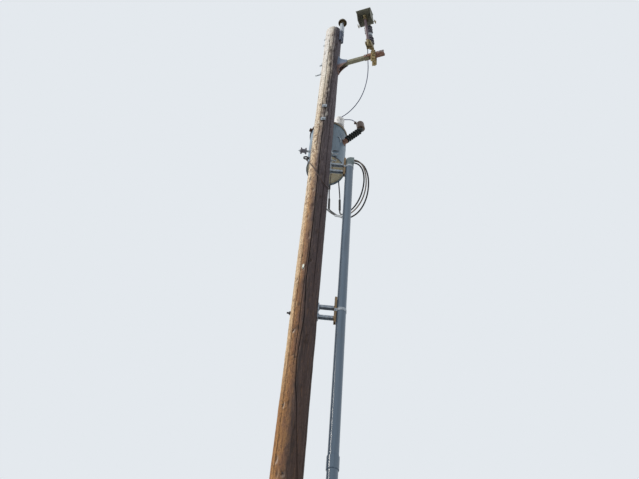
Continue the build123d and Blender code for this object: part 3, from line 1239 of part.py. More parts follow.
# Neutral: a strain plate on the wood, a spool on its bolt and an eye nut below it
neutral_skin = pole_radius(SPOOL_HEIGHT)
plate_face = neutral_skin + STRAIN_PLATE_THICKNESS
with BuildPart() as strain_plate:
    with BuildSketch(radial_plane(NEUTRAL_AZIMUTH, SPOOL_HEIGHT, neutral_skin - 2 * WASHER_SEAT)):
        with Locations((0, (STRAIN_PLATE_TOP - SPOOL_HEIGHT + STRAIN_PLATE_LOW - SPOOL_HEIGHT) / 2)):
            RectangleRounded(STRAIN_PLATE_WIDTH, STRAIN_PLATE_TOP - STRAIN_PLATE_LOW, 8)
    extrude(amount=2 * WASHER_SEAT + STRAIN_PLATE_THICKNESS)
    for height in (SPOOL_HEIGHT, EYE_HEIGHT):
        with BuildSketch(radial_plane(NEUTRAL_AZIMUTH, height, 0)):
            Circle(BOLT_HOLE_DIA / 2)
        extrude(amount=POLE_FOOT_DIA, mode=Mode.SUBTRACT)
    add(pole_form.part, mode=Mode.SUBTRACT)
write(strain_plate, "strain_plate")

spool_start = neutral_skin + SPOOL_STANDOFF
with BuildPart() as spool:
    with BuildSketch(side_plane(NEUTRAL_AZIMUTH, SPOOL_HEIGHT, spool_start)):
        with BuildLine():
            Polyline(
                (0, BOLT_DIA / 2 + FIT_GAP),
                (0, SPOOL_DIA / 2 - 5),
                (5, SPOOL_DIA / 2),
                (14, SPOOL_DIA / 2),
                (22, SPOOL_NECK_DIA / 2 + 3),
            )
            ThreePointArc(
                (22, SPOOL_NECK_DIA / 2 + 3),
                (SPOOL_LENGTH / 2, SPOOL_NECK_DIA / 2),
                (SPOOL_LENGTH - 22, SPOOL_NECK_DIA / 2 + 3),
            )
            Polyline(
                (SPOOL_LENGTH - 22, SPOOL_NECK_DIA / 2 + 3),
                (SPOOL_LENGTH - 14, SPOOL_DIA / 2),
                (SPOOL_LENGTH - 5, SPOOL_DIA / 2),
                (SPOOL_LENGTH, SPOOL_DIA / 2 - 5),
                (SPOOL_LENGTH, BOLT_DIA / 2 + FIT_GAP),
                (0, BOLT_DIA / 2 + FIT_GAP),
            )
        make_face()
    revolve(axis=Axis((0, 0, SPOOL_HEIGHT), outward(NEUTRAL_AZIMUTH)))
write(spool, "spool")

spool_end = spool_start + SPOOL_LENGTH
with BuildPart() as spool_bolt:
    with BuildSketch(radial_plane(NEUTRAL_AZIMUTH + 180, SPOOL_HEIGHT, neutral_skin - WASHER_SEAT)):
        Rectangle(WASHER, WASHER)
    extrude(amount=WASHER_SEAT + WASHER_THICKNESS)
    add(pole_form.part, mode=Mode.SUBTRACT)
    with BuildSketch(radial_plane(NEUTRAL_AZIMUTH, SPOOL_HEIGHT, -neutral_skin - SPOOL_TAIL)):
        Circle(BOLT_DIA / 2)
    extrude(amount=spool_end + neutral_skin + SPOOL_TAIL + SPOOL_KEEPER)
    with BuildSketch(radial_plane(NEUTRAL_AZIMUTH, SPOOL_HEIGHT, spool_end + SPOOL_KEEPER)):
        Circle(BOLT_DIA / 2)
    extrude(amount=SPOOL_POINT, taper=20)
    with BuildSketch(radial_plane(NEUTRAL_AZIMUTH, SPOOL_HEIGHT, spool_end)):
        RectangleRounded(BOLT_HEAD, BOLT_HEAD, BOLT_HEAD_CORNER)
    extrude(amount=SPOOL_KEEPER)
    with BuildSketch(radial_plane(NEUTRAL_AZIMUTH, SPOOL_HEIGHT, plate_face)):
        RectangleRounded(BOLT_HEAD, BOLT_HEAD, BOLT_HEAD_CORNER)
    extrude(amount=BOLT_HEAD_HEIGHT)
    with BuildSketch(radial_plane(NEUTRAL_AZIMUTH, SPOOL_HEIGHT, plate_face + BOLT_HEAD_HEIGHT)):
        Circle(BOLT_HEAD / 2)
    extrude(amount=spool_start - plate_face - BOLT_HEAD_HEIGHT)
    with BuildSketch(
        radial_plane(NEUTRAL_AZIMUTH + 180, SPOOL_HEIGHT, neutral_skin + WASHER_THICKNESS)
    ):
        RectangleRounded(BOLT_HEAD, BOLT_HEAD, BOLT_HEAD_CORNER)
    extrude(amount=BOLT_HEAD_HEIGHT)
write(spool_bolt, "spool_bolt")

with BuildPart() as eye_bolt:
    with BuildSketch(radial_plane(NEUTRAL_AZIMUTH + 180, EYE_HEIGHT, neutral_skin - WASHER_SEAT)):
        Rectangle(WASHER, WASHER)
    extrude(amount=WASHER_SEAT + WASHER_THICKNESS)
    add(pole_form.part, mode=Mode.SUBTRACT)
    with BuildSketch(radial_plane(NEUTRAL_AZIMUTH, EYE_HEIGHT, -neutral_skin - EYE_TAIL)):
        Circle(BOLT_DIA / 2)
    extrude(amount=plate_face + neutral_skin + EYE_TAIL)
    with BuildSketch(
        radial_plane(NEUTRAL_AZIMUTH + 180, EYE_HEIGHT, neutral_skin + WASHER_THICKNESS)
    ):
        RectangleRounded(BOLT_HEAD, BOLT_HEAD, BOLT_HEAD_CORNER)
    extrude(amount=BOLT_HEAD_HEIGHT)
write(eye_bolt, "eye_bolt")

# Eye nut: a boss on the bolt's end and an oval loop, grooved where the bond wire is clamped
with BuildPart() as eye_nut:
    with BuildSketch(radial_plane(NEUTRAL_AZIMUTH, EYE_HEIGHT, plate_face)):
        Circle(BOLT_HEAD / 2 + 2)
    extrude(amount=EYE_BAR)
    with BuildSketch(side_plane(NEUTRAL_AZIMUTH, EYE_HEIGHT, plate_face + EYE_BAR)):
        with Locations((EYE_WIDTH / 2 - 2, 0)):
            Ellipse(EYE_WIDTH / 2, EYE_WIDTH / 2 - 4)
            Ellipse(EYE_WIDTH / 2 - EYE_BAR, EYE_WIDTH / 2 - 4 - EYE_BAR, mode=Mode.SUBTRACT)
    extrude(amount=EYE_BAR / 2, both=True)
    clamp_low = Vector(*BOND_WIRE[0]) - Vector(0, 0, WIRE_LUG_DEPTH)
    with BuildSketch(Plane(origin=clamp_low, z_dir=(0, 0, 1))):
        RectangleRounded(EYE_CLAMP, EYE_CLAMP + 2, 3)
    extrude(amount=WIRE_LUG_DEPTH + WIRE_GRIP)
    add(wire_seat(BOND_WIRE, 0, BOND_WIRE_DIA), mode=Mode.SUBTRACT)
write(eye_nut, "eye_nut")

# Splices: sleeves that join the transformer's leads to the riser's cables
SPLICES = (
    ("splice_right", LEAD_RIGHT, RISER_CABLE_INNER, RISER_CABLE_DIA),
    ("splice_middle", LEAD_MIDDLE, RISER_CABLE_OUTER, RISER_CABLE_DIA),
    ("splice_neutral", LEAD_LEFT, RISER_CABLE_NEUTRAL, LEAD_DIA),
)
for name, lead, cable, cable_dia in SPLICES:
    lead_end = Vector(*lead[-1])
    way = (Vector(*cable[-1]) - lead_end).normalized()
    span = (Vector(*cable[-1]) - lead_end).length
    with BuildPart() as splice:
        with BuildSketch(Plane(origin=lead_end - way * SPLICE_OVERLAP, z_dir=way)):
            Circle(SPLICE_DIA / 2)
        extrude(amount=span + 2 * SPLICE_OVERLAP)
        add(wire_seat(lead, -1, LEAD_DIA), mode=Mode.SUBTRACT)
        add(wire_seat(cable, -1, cable_dia), mode=Mode.SUBTRACT)
    write(splice, name)

# Wires, from one terminal to the other
wire("hv_lead", HV_LEAD, HV_WIRE_DIA)
wire("arrester_jumper", ARRESTER_JUMPER, HV_WIRE_DIA)
wire("riser_cable_outer", RISER_CABLE_OUTER, RISER_CABLE_DIA)
wire("riser_cable_inner", RISER_CABLE_INNER, RISER_CABLE_DIA)
wire("riser_cable_neutral", RISER_CABLE_NEUTRAL, LEAD_DIA)
wire("lead_right", LEAD_RIGHT, LEAD_DIA)
wire("lead_middle", LEAD_MIDDLE, LEAD_DIA)
wire("lead_left", LEAD_LEFT, LEAD_DIA)
wire("bond_wire", BOND_WIRE, BOND_WIRE_DIA)
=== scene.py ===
# %% [markdown]
# # A weathered wooden utility pole
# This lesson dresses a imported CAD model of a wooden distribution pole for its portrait.
# The pole carries a pin insulator on its top, a fused cutout on an arm, a transformer behind it,
# and a grey plastic riser for the cables on its right side.
# The CAD parts give every place and size. Blender gives the looks: the wood, the glazes,
# the paints, the metals and the cables. Everything is in metres, with the foot of the pole at the origin.

# %% Load the frame
import json
import math

import bpy
import numpy as np
from mathutils import Matrix, Vector


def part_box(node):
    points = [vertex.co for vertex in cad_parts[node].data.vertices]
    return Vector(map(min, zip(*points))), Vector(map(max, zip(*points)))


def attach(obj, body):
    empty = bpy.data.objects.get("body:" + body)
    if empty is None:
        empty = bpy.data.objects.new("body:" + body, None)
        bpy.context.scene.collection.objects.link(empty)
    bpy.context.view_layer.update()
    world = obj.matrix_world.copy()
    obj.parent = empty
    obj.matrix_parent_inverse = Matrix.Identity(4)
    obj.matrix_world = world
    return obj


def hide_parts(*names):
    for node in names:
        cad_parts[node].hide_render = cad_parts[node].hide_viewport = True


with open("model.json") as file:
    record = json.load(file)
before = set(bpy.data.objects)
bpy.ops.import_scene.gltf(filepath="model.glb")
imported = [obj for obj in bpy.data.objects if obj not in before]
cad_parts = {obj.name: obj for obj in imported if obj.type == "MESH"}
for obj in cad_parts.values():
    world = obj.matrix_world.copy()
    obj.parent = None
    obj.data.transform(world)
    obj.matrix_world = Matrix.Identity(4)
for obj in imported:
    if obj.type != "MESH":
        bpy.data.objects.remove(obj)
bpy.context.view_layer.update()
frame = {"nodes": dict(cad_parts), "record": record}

NODES = frame["nodes"]
POLE_BODY = "pole_assembly"
MM = 0.001

# %% [markdown]
# ## Helpers for objects and nodes
# A new object shows only once it is linked to the scene. Materials and the world are trees of
# nodes, and each node takes settings, values and links. A socket knows its own tree, as id_data,
# so most functions here take sockets and need no tree.


# %% Add one object, or one node with its settings and links
def add_object(name, data):
    made = bpy.data.objects.new(name, data)
    bpy.context.scene.collection.objects.link(made)
    return made


def add_node(tree, kind, sockets=None, stops=(), **settings):
    made = tree.nodes.new("ShaderNode" + kind)
    for name, value in settings.items():
        setattr(made, name, value)
    for place, (position, colour) in enumerate(stops):
        ramp = made.color_ramp.elements
        stop = ramp[place] if place < 2 else ramp.new(position)
        stop.position, stop.color = position, colour
    for name, value in (sockets or {}).items():
        if isinstance(value, bpy.types.NodeSocket):
            tree.links.new(value, made.inputs[name])
        else:
            made.inputs[name].default_value = value
    return made


def maths(operation, first, second):
    """A sum, product or the like of two sockets, or of the first one and a number."""
    sockets = {0: first, 1: second}
    return add_node(first.id_data, "Math", sockets, operation=operation).outputs[0]


# %% [markdown]
# ## The camera
# The photograph was taken from close to the pole, looking steeply up. Its vanishing point of the
# upright lines gives the tilt, and the width of the riser gives the distance.
# A camera can be aimed with a Track To constraint or with Euler angles. Here its three axes are
# known, so the plainest way is to write them as the columns of its matrix.


# %% Place the camera
CAMERA_PLACE = Vector((0.075, -4.85, 1.65))
CAMERA_RIGHT = Vector((0.99547, -0.0702, 0.0641))
CAMERA_UP = Vector((-0.09506, -0.7351, 0.6713))
LENS_PER_WIDTH = 720 / 639        # focal length in picture widths
SENSOR_MM = 36.0


def place_camera():
    data = bpy.data.cameras.new("photo_camera")
    data.sensor_width = SENSOR_MM
    data.lens = SENSOR_MM * LENS_PER_WIDTH
    camera = add_object("photo_camera", data)
    right = CAMERA_RIGHT.normalized()
    back = right.cross(CAMERA_UP).normalized()
    up = back.cross(right)
    turn = Matrix((right, up, back)).transposed().to_4x4()
    camera.matrix_world = Matrix.Translation(CAMERA_PLACE) @ turn
    bpy.context.scene.camera = camera
    return camera


camera = place_camera()
print("lens in mm:", round(camera.data.lens, 2))

# %% [markdown]
# ## One way to write colours
# Colours are easiest to pick as sRGB hex values, and shaders want linear light.
# One function turns the one into the other, so a material reads like a paint chart.


# %% Turn hex colours into linear light
def hex_colour(text):
    channels = []
    for start in (1, 3, 5):
        value = int(text[start:start + 2], 16) / 255
        channels.append(value / 12.92 if value <= 0.04045 else ((value + 0.055) / 1.055) ** 2.4)
    return (*channels, 1.0)


print("cream in linear light:", [round(c, 3) for c in hex_colour("#E8DDC4")])

# %% [markdown]
# ## Plain studio light
# A soft lamp on the left stands where the sun stood, so the pole turns from light to shade across
# its face as in the photograph. The world fills the shade with even, pale light.
# The camera, and what mirrors or lets through, see the world as a pale backdrop, through Light
# Path, without more light on the pole.

# %% Light the studio
LAMP_STRENGTH = 2.25
LAMP_SOFTNESS = math.radians(14)
LAMP_TOWARDS = Vector((0.84, 0.2, -0.5))
LAMP_COLOUR = "#FFFAF2"
FILL_STRENGTH = 0.45
FILL_COLOUR = "#F4F7FA"
BACKDROP = "#E4E9EE"


def light_studio():
    lamp = bpy.data.lights.new("left_lamp", "SUN")
    lamp.energy = LAMP_STRENGTH
    lamp.angle = LAMP_SOFTNESS
    lamp.color = hex_colour(LAMP_COLOUR)[:3]
    holder = add_object("left_lamp", lamp)
    holder.rotation_euler = LAMP_TOWARDS.to_track_quat("-Z", "Y").to_euler()
    world = bpy.data.worlds.new("studio")
    world.use_nodes = True
    tree = world.node_tree
    fill = tree.nodes["Background"]
    fill.inputs["Color"].default_value = hex_colour(FILL_COLOUR)
    fill.inputs["Strength"].default_value = FILL_STRENGTH
    backdrop = add_node(tree, "Background", {"Color": hex_colour(BACKDROP)})
    path = add_node(tree, "LightPath").outputs
    lit_or_torn = path["Is Camera Ray"]
    for kind in ("Is Glossy Ray", "Is Transmission Ray"):
        lit_or_torn = maths("MAXIMUM", lit_or_torn, path[kind])
    mixer = add_node(tree, "MixShader", {
        "Fac": lit_or_torn, 1: fill.outputs["Background"], 2: backdrop.outputs["Background"]})
    tree.links.new(mixer.outputs["Shader"], tree.nodes["World Output"].inputs["Surface"])
    bpy.context.scene.world = world
    bpy.context.scene.view_settings.view_transform = "Standard"


light_studio()
print("lamp:", LAMP_STRENGTH, "fill:", FILL_STRENGTH)

# %% [markdown]
# ## Cables first
# Every cable here is held at both ends, so each is a curve of a known length, not a loose drape.
# A NURBS spline of order 3 over the route's points bends smoothly and never kinks.
# The order is set after the points, because a spline with no points yet can't hold it.

# %% Helper for the cables
CABLE_ORDER = 3
CABLE_STEPS = 8
CABLE_ROUNDNESS = 5


def run_cable(node, diameter, length, points):
    """One cable that takes the place of its CAD node, along the same route."""
    data = bpy.data.curves.new(f"{node}_run", "CURVE")
    data.dimensions = "3D"
    spline = data.splines.new("NURBS")
    spline.points.add(len(points) - 1)
    for point, place in zip(spline.points, points):
        point.co = (*place, 1.0)
        point.radius = diameter / 2
    spline.order_u = CABLE_ORDER
    spline.use_endpoint_u = True
    spline.resolution_u = CABLE_STEPS
    data.bevel_depth = 1.0        # times each point's radius
    data.bevel_resolution = CABLE_ROUNDNESS
    data.use_fill_caps = True
    cable = add_object(f"{node}_run", data)
    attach(cable, POLE_BODY)
    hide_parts(node)
    return cable


# %% The high-voltage lead and the arrester's jumper
HV_LEAD = (
    (0.468, -0.332, 10.44), (0.47, -0.312, 10.48), (0.475, -0.272, 10.512), (0.481, -0.222, 10.522),
    (0.487, -0.175, 10.508), (0.493, -0.14, 10.47), (0.498, -0.12, 10.42), (0.502, -0.106, 10.358),
    (0.504, -0.092, 10.278), (0.503, -0.068, 10.188), (0.495, -0.025, 10.09), (0.474, 0.04, 9.985),
    (0.436, 0.112, 9.895), (0.38, 0.19, 9.832), (0.316, 0.262, 9.796), (0.25, 0.325, 9.78),
    (0.188, 0.37, 9.774),
)
ARRESTER_JUMPER = (
    (0.188, 0.378, 9.755), (0.231, 0.376, 9.753), (0.276, 0.358, 9.732), (0.314, 0.328, 9.692),
    (0.342, 0.292, 9.634), (0.364, 0.258, 9.568), (0.379, 0.236, 9.512), (0.388, 0.222, 9.466),
)
print("route points:", len(HV_LEAD), len(ARRESTER_JUMPER))

# %% The cables out of the riser
RISER_CABLE_OUTER = (
    (0.358, 0.004, 8.341), (0.41, 0.004, 8.345), (0.461, 0.013, 8.33), (0.504, 0.028, 8.291),
    (0.535, 0.05, 8.234), (0.557, 0.078, 8.158), (0.566, 0.11, 8.06), (0.56, 0.148, 7.952),
    (0.538, 0.192, 7.856), (0.5, 0.238, 7.78), (0.448, 0.284, 7.735), (0.388, 0.332, 7.728),
    (0.331, 0.377, 7.762), (0.276, 0.412, 7.82), (0.234, 0.458, 7.905), (0.198, 0.508, 7.995),
    (0.172, 0.56, 8.085), (0.156, 0.605, 8.16), (0.15, 0.634, 8.226),
)
RISER_CABLE_INNER = (
    (0.358, 0, 8.303), (0.408, 0.001, 8.302), (0.455, 0.013, 8.278), (0.489, 0.036, 8.226),
    (0.508, 0.068, 8.156), (0.512, 0.108, 8.076), (0.5, 0.156, 7.988), (0.474, 0.208, 7.912),
    (0.437, 0.262, 7.86), (0.393, 0.316, 7.838), (0.346, 0.374, 7.85), (0.31, 0.436, 7.896),
    (0.291, 0.496, 7.964), (0.282, 0.548, 8.044), (0.279, 0.58, 8.115), (0.278, 0.592, 8.172),
)
RISER_CABLE_NEUTRAL = (
    (0.358, -0.027, 8.32), (0.409, -0.027, 8.32), (0.458, -0.014, 8.295), (0.495, 0.009, 8.246),
    (0.521, 0.04, 8.18), (0.536, 0.078, 8.098), (0.535, 0.122, 8.008), (0.518, 0.168, 7.922),
    (0.485, 0.214, 7.848), (0.44, 0.258, 7.792), (0.388, 0.3, 7.762), (0.336, 0.331, 7.752),
    (0.29, 0.36, 7.766),
)
print("route points:", len(RISER_CABLE_OUTER), len(RISER_CABLE_INNER), len(RISER_CABLE_NEUTRAL))

# %% The transformer's leads, and the bond wire, whose stretch over the pole's front is a painted shadow
LEAD_RIGHT = (
    (0.232, 0.653, 9.188), (0.235, 0.656, 9.05), (0.236, 0.652, 8.89), (0.246, 0.64, 8.72),
    (0.26, 0.625, 8.56), (0.271, 0.616, 8.42), (0.272, 0.608, 8.338),
)
LEAD_MIDDLE = (
    (0.116, 0.7, 9.188), (0.118, 0.705, 9.05), (0.122, 0.702, 8.9), (0.129, 0.69, 8.75),
    (0.137, 0.676, 8.61), (0.142, 0.662, 8.48), (0.146, 0.65, 8.392),
)
LEAD_LEFT = (
    (-0.034, 0.688, 9.188), (-0.032, 0.692, 9.06), (-0.029, 0.688, 8.91), (-0.022, 0.676, 8.76),
    (-0.012, 0.66, 8.61), (0.002, 0.638, 8.47), (0.022, 0.606, 8.34), (0.05, 0.564, 8.22),
    (0.082, 0.514, 8.106), (0.118, 0.464, 8), (0.156, 0.424, 7.908), (0.198, 0.396, 7.836),
    (0.24, 0.38, 7.796),
)
# The bond wire is dark, and where it crosses the pole's front it is a painted shadow: a dark wire laid
# where a wire's shadow falls.
BOND_WIRE_AND_SHADOW_LINE = (
    (-0.15, -0.004, 8.28), (-0.147, -0.02, 8.226), (-0.132, -0.054, 8.16), (-0.102, -0.09, 8.08),
    (-0.064, -0.118, 7.985), (-0.026, -0.132, 7.885), (0.014, -0.134, 7.795), (0.051, -0.124, 7.731),
    (0.084, -0.103, 7.704), (0.111, -0.077, 7.702), (0.127, -0.046, 7.712), (0.136, -0.01, 7.76),
    (0.137, 0.024, 7.832), (0.134, 0.05, 7.925), (0.132, 0.07, 8.03), (0.134, 0.088, 8.14),
    (0.139, 0.11, 8.25), (0.146, 0.137, 8.36), (0.155, 0.165, 8.47), (0.165, 0.19, 8.58),
    (0.174, 0.202, 8.68),
)
print("route points:", len(LEAD_RIGHT), len(LEAD_MIDDLE), len(LEAD_LEFT), len(BOND_WIRE_AND_SHADOW_LINE))

# %% Run every cable
# Diameter and length in metres, and route.
CABLES = {
    "hv_lead": (0.011, 1.276, HV_LEAD),
    "arrester_jumper": (0.011, 0.419, ARRESTER_JUMPER),
    "riser_cable_outer": (0.017, 1.543, RISER_CABLE_OUTER),
    "riser_cable_inner": (0.017, 1.17, RISER_CABLE_INNER),
    "riser_cable_neutral": (0.015, 0.904, RISER_CABLE_NEUTRAL),
    "lead_right": (0.015, 0.853, LEAD_RIGHT),
    "lead_middle": (0.015, 0.799, LEAD_MIDDLE),
    "lead_left": (0.015, 1.493, LEAD_LEFT),
    "bond_wire": (0.009, 1.737, BOND_WIRE_AND_SHADOW_LINE),
}
cables = {node: run_cable(node, *row) for node, row in CABLES.items()}
print("cables:", ", ".join(cables))

# %% [markdown]
# ## A small kit for finishes
# Real surfaces are rarely one colour. Weather, handling and dust leave soft patches of different
# sizes over a base colour, and fine relief breaks up the highlights.
# Painting image textures would be one way. Noise patterns need no files and no UV map, and their
# scale can be worked out from a real size in millimetres, so that is the way here.


# %% Start a finish
def start_finish(name, roughness, metallic=0.0, ior=None):
    """A new material with its shader and the place of each point in metres."""
    material = bpy.data.materials.new(name)
    material.use_nodes = True
    tree = material.node_tree
    shader = tree.nodes["Principled BSDF"]
    shader.inputs["Roughness"].default_value = roughness
    shader.inputs["Metallic"].default_value = metallic
    if ior is not None:
        shader.inputs["IOR"].default_value = ior
    return material, shader, add_node(tree, "TexCoord").outputs["Object"]


# %% Ranges, sums, products and links
def remap(value, source=(0, 1), target=(0, 1)):
    """A value moved from the source range to the target range, and held inside it."""
    return add_node(value.id_data, "MapRange", {
        "Value": value, "From Min": source[0], "From Max": source[1],
        "To Min": target[0], "To Max": target[1]}).outputs["Result"]


def plus(first, second):
    return maths("ADD", first, second)


def times(first, second):
    return maths("MULTIPLY", first, second)


def plug(value, node, socket):
    value.id_data.links.new(value, node.inputs[socket])


# %% Cloudy patterns of a real size
SOFT_EDGES = (0.3, 0.7)


def cloud(place, size_mm, tall=1, shift=0.0, detail=3.0, edges=(0.4, 0.6), wide=1):
    """A soft pattern from 0 to 1. Its patches are about size_mm across, times wide, and times tall."""
    tree = place.id_data
    moved = add_node(tree, "Mapping", {
        "Vector": place, "Location": (shift, shift * 0.7, shift * 0.4),
        "Scale": (1 / wide, 1 / wide, 1 / tall)})
    noise = add_node(tree, "TexNoise", {
        "Vector": moved.outputs["Vector"], "Scale": 1000 / size_mm, "Detail": detail,
        "Roughness": 0.6})
    return remap(noise.outputs["Fac"], edges)


# %% Colours laid over each other
LAYER_SHIFT = 3.1        # so that no two layers have the same pattern


def lay_over(under, over, factor, amount=1.0):
    """A colour, as a socket or a hex text, laid on the one under it, as thick as factor times amount."""
    if isinstance(over, str):
        over = hex_colour(over)
    if amount != 1.0:
        factor = times(factor, amount)
    return add_node(factor.id_data, "Mix", {0: factor, 6: under, 7: over}, data_type="RGBA").outputs[2]


def lay_layers(place, base, layers, shift=1.7):
    """A base colour under layers of (hex, size in mm, edges, amount), and times as tall if not round."""
    colour = hex_colour(base)
    for number, (over, size, edges, amount, *tall) in enumerate(layers):
        pattern = cloud(place, size, *tall, shift=shift + LAYER_SHIFT * number, edges=edges)
        colour = lay_over(colour, over, pattern, amount)
    return colour


# %% Relief and a layered finish
SHEEN_MM = 60


def add_relief(shader, height, depth_mm):
    """Raises the surface by a height from 0 to 1 times a depth in millimetres."""
    bump = add_node(height.id_data, "Bump", {
        "Height": height, "Distance": depth_mm * MM, "Strength": 1.0})
    before = shader.inputs["Normal"].links
    if before:
        plug(before[0].from_socket, bump, "Normal")
    plug(bump.outputs["Normal"], shader, "Normal")


def layered_finish(name, base, layers, relief, roughness, metallic=0.0, ior=None):
    """A finish of layers. Relief has rows of (size in mm, depth in mm), and times as tall if not round."""
    material, shader, place = start_finish(name, roughness[0], metallic, ior)
    plug(lay_layers(place, base, layers), shader, "Base Color")
    sheen = cloud(place, SHEEN_MM, shift=9.0, edges=SOFT_EDGES)
    plug(remap(sheen, target=roughness), shader, "Roughness")
    for number, (size, depth, *tall) in enumerate(relief):
        height = cloud(place, size, *tall, shift=5.0 + number, detail=2.0, edges=SOFT_EDGES)
        add_relief(shader, height, depth)
    return material


print("finish kit ready")

# %% [markdown]
# ## The wood of the pole
# The pole is a pine trunk, peeled, pressure treated and left in the sun for decades. Rain and sun
# bleach its left side to cream at the top and leave it golden brown lower down, and the shaded side
# stays dark. The grain climbs the trunk in a slow spiral, and long checks open along it.
# A CAD cylinder can't show that, so the trunk is built here as a fine net of points, pushed in and
# out by numbers: broad swellings, ridges of grain, checks and gouges.
# Sculpting by hand or displacement at render time would do too, but plain numbers can be repeated.

# %% Sizes of the trunk
POLE_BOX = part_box("pole")
TRUNK_HEIGHT = round(POLE_BOX[1].z, 4)
TRUNK_FOOT_RADIUS = round(POLE_BOX[1].x, 4)
TRUNK_TOP_RADIUS = 0.115
TRUNK_BEVEL = 0.009
TRUNK_COLUMNS = 140
TRUNK_ROWS = 690
WOOD_SEED = 45
rng = np.random.default_rng(WOOD_SEED)


def trunk_radius(height):
    return TRUNK_FOOT_RADIUS + (TRUNK_TOP_RADIUS - TRUNK_FOOT_RADIUS) * height / TRUNK_HEIGHT


# %% Waves of wood
def soft_noise(around, along, cells_around, cells_along):
    """Smooth random values from -1 to 1 on a net that closes round the trunk."""
    lattice = rng.uniform(-1, 1, (cells_around, cells_along + 2))
    u = (around / (2 * math.pi) * cells_around) % cells_around
    v = np.clip(along / TRUNK_HEIGHT, 0, 1) * cells_along
    u0, v0 = np.floor(u).astype(int) % cells_around, np.floor(v).astype(int)
    fu, fv = u - np.floor(u), v - np.floor(v)
    fu, fv = fu * fu * (3 - 2 * fu), fv * fv * (3 - 2 * fv)
    u1, v1 = (u0 + 1) % cells_around, v0 + 1
    low = lattice[u0, v0] * (1 - fu) + lattice[u1, v0] * fu
    high = lattice[u0, v1] * (1 - fu) + lattice[u1, v1] * fu
    return low * (1 - fv) + high * fv


def angle_gap(a, b):
    """Shortest way round from one angle to another, in radians."""
    return (a - b + math.pi) % (2 * math.pi) - math.pi


# %% The long check in front
# Height in metres and azimuth in degrees of the deep check that divides the light from the shade.
MAIN_CHECK = (
    (0.0, -20.0), (2.0, -30.0), (3.2, -38.0), (4.3, -50.0), (4.68, -71.0), (4.96, -83.0),
    (5.11, -93.0), (5.36, -98.0), (5.53, -94.0), (5.83, -86.0), (6.26, -95.0), (7.2, -92.0),
    (8.32, -96.0), (9.0, -94.0), (9.39, -91.0), (10.2, -86.0), (10.7, -90.0), (11.43, -84.0),
)
check_heights = np.array([h for h, _ in MAIN_CHECK])
check_angles = np.radians([a for _, a in MAIN_CHECK])


def main_check(height):
    return np.interp(height, check_heights, check_angles)


# %% A net whose columns follow the check
CROWDING = 1.35          # 1 would space the columns evenly


def trunk_net():
    """Angles and heights of the net's points. Columns crowd together along the main check."""
    even = np.linspace(-1, 1, TRUNK_COLUMNS, endpoint=False)
    crowded = np.sign(even) * np.abs(even) ** CROWDING * math.pi
    heights = np.linspace(0, TRUNK_HEIGHT, TRUNK_ROWS)
    along = np.repeat(heights[:, None], TRUNK_COLUMNS, axis=1)
    around = main_check(along) + crowded[None, :]
    return around, along


AROUND, ALONG = trunk_net()
print("trunk points:", AROUND.size, "narrowest column in mm:",
      round(float(np.diff(AROUND[0]).min()) * TRUNK_FOOT_RADIUS * 1000, 2))

# %% [markdown]
# ### Checks and gouges
# A check is a crack that opens as a trunk dries. Each one here is a narrow groove that wanders a
# little along the grain and closes at both ends, but for the long one in front, which runs out at
# the top. Gouges are ragged hollows where linemen's gaffs, hail and tools have torn the surface.

# %% Checks along the grain
# Azimuth at the low end and at the high end, low height, high height, half width and depth in mm.
SIDE_CHECKS = (
    (-118, -112, 8.2, 11.2, 3.2, 9), (-60, -52, 6.0, 9.6, 3.4, 12), (-140, -128, 4.2, 7.0, 3.0, 8),
    (-30, -20, 2.0, 6.4, 3.5, 14), (10, 24, 5.5, 10.8, 3.6, 14), (60, 72, 1.0, 6.2, 3.4, 12),
    (120, 132, 3.0, 9.5, 3.8, 16), (165, 172, 0.5, 4.8, 3.4, 12), (-160, -150, 8.0, 11.3, 3.2, 10),
    (150, 158, 7.4, 11.1, 3.4, 12), (-95, -80, 0.6, 3.8, 3.2, 10), (95, 108, 8.4, 11.3, 3.4, 12),
    (-74, -70, 8.6, 10.9, 3.0, 8), (-108, -101, 5.2, 6.9, 2.8, 7), (-12, 0, 7.6, 11.2, 3.2, 10),
)
MAIN_CHECK_FOOT = 0.3
MAIN_CHECK_HALF_WIDTH = 3.6
MAIN_CHECK_DEPTH = 22
OPEN_MEAN, OPEN_SWING = 0.7, 0.5       # how wide the main check gapes
CHECK_WANDER = 0.024     # in radians
CHECK_ENDS = 9           # a check closes over one ninth of its length, at each end
CHECK_FLOOR = 1.35       # what it has over 1 leaves the groove a flat floor


def groove(centre, low, high, half_width_mm, depth_mm):
    """Depth of a check in metres, and how much a point belongs to it, from 0 to 1."""
    middle = (ALONG - low) / (high - low)
    inside = np.clip(np.minimum(middle, 1 - middle) * CHECK_ENDS, 0, 1)
    inside = np.where((middle > 0) & (middle < 1), inside, 0)
    off = np.abs(angle_gap(AROUND, centre)) * trunk_radius(ALONG) / MM
    share = np.clip(CHECK_FLOOR - off / half_width_mm, 0, 1) * inside
    return share * depth_mm * MM, share


def all_checks():
    wander = soft_noise(AROUND * 0, ALONG, 1, 60) * CHECK_WANDER
    open_wide = OPEN_MEAN + OPEN_SWING * soft_noise(AROUND * 0, ALONG, 1, 22)
    depth, dark = groove(main_check(ALONG), MAIN_CHECK_FOOT, TRUNK_HEIGHT + 1,
                         MAIN_CHECK_HALF_WIDTH, MAIN_CHECK_DEPTH)
    depth, dark = depth * open_wide, dark * np.clip(open_wide * 1.3, 0, 1)
    for low_azimuth, high_azimuth, low, high, half_width, deep in SIDE_CHECKS:
        centre = np.radians(low_azimuth + (high_azimuth - low_azimuth)
                            * (ALONG - low) / (high - low)) + wander
        more, darker = groove(centre, low, high, half_width, deep)
        depth, dark = np.maximum(depth, more), np.maximum(dark, darker)
    return depth, dark


CHECK_DEPTH, CHECK_DARK = all_checks()
print("deepest check in mm:", round(float(CHECK_DEPTH.max()) * 1000, 1))

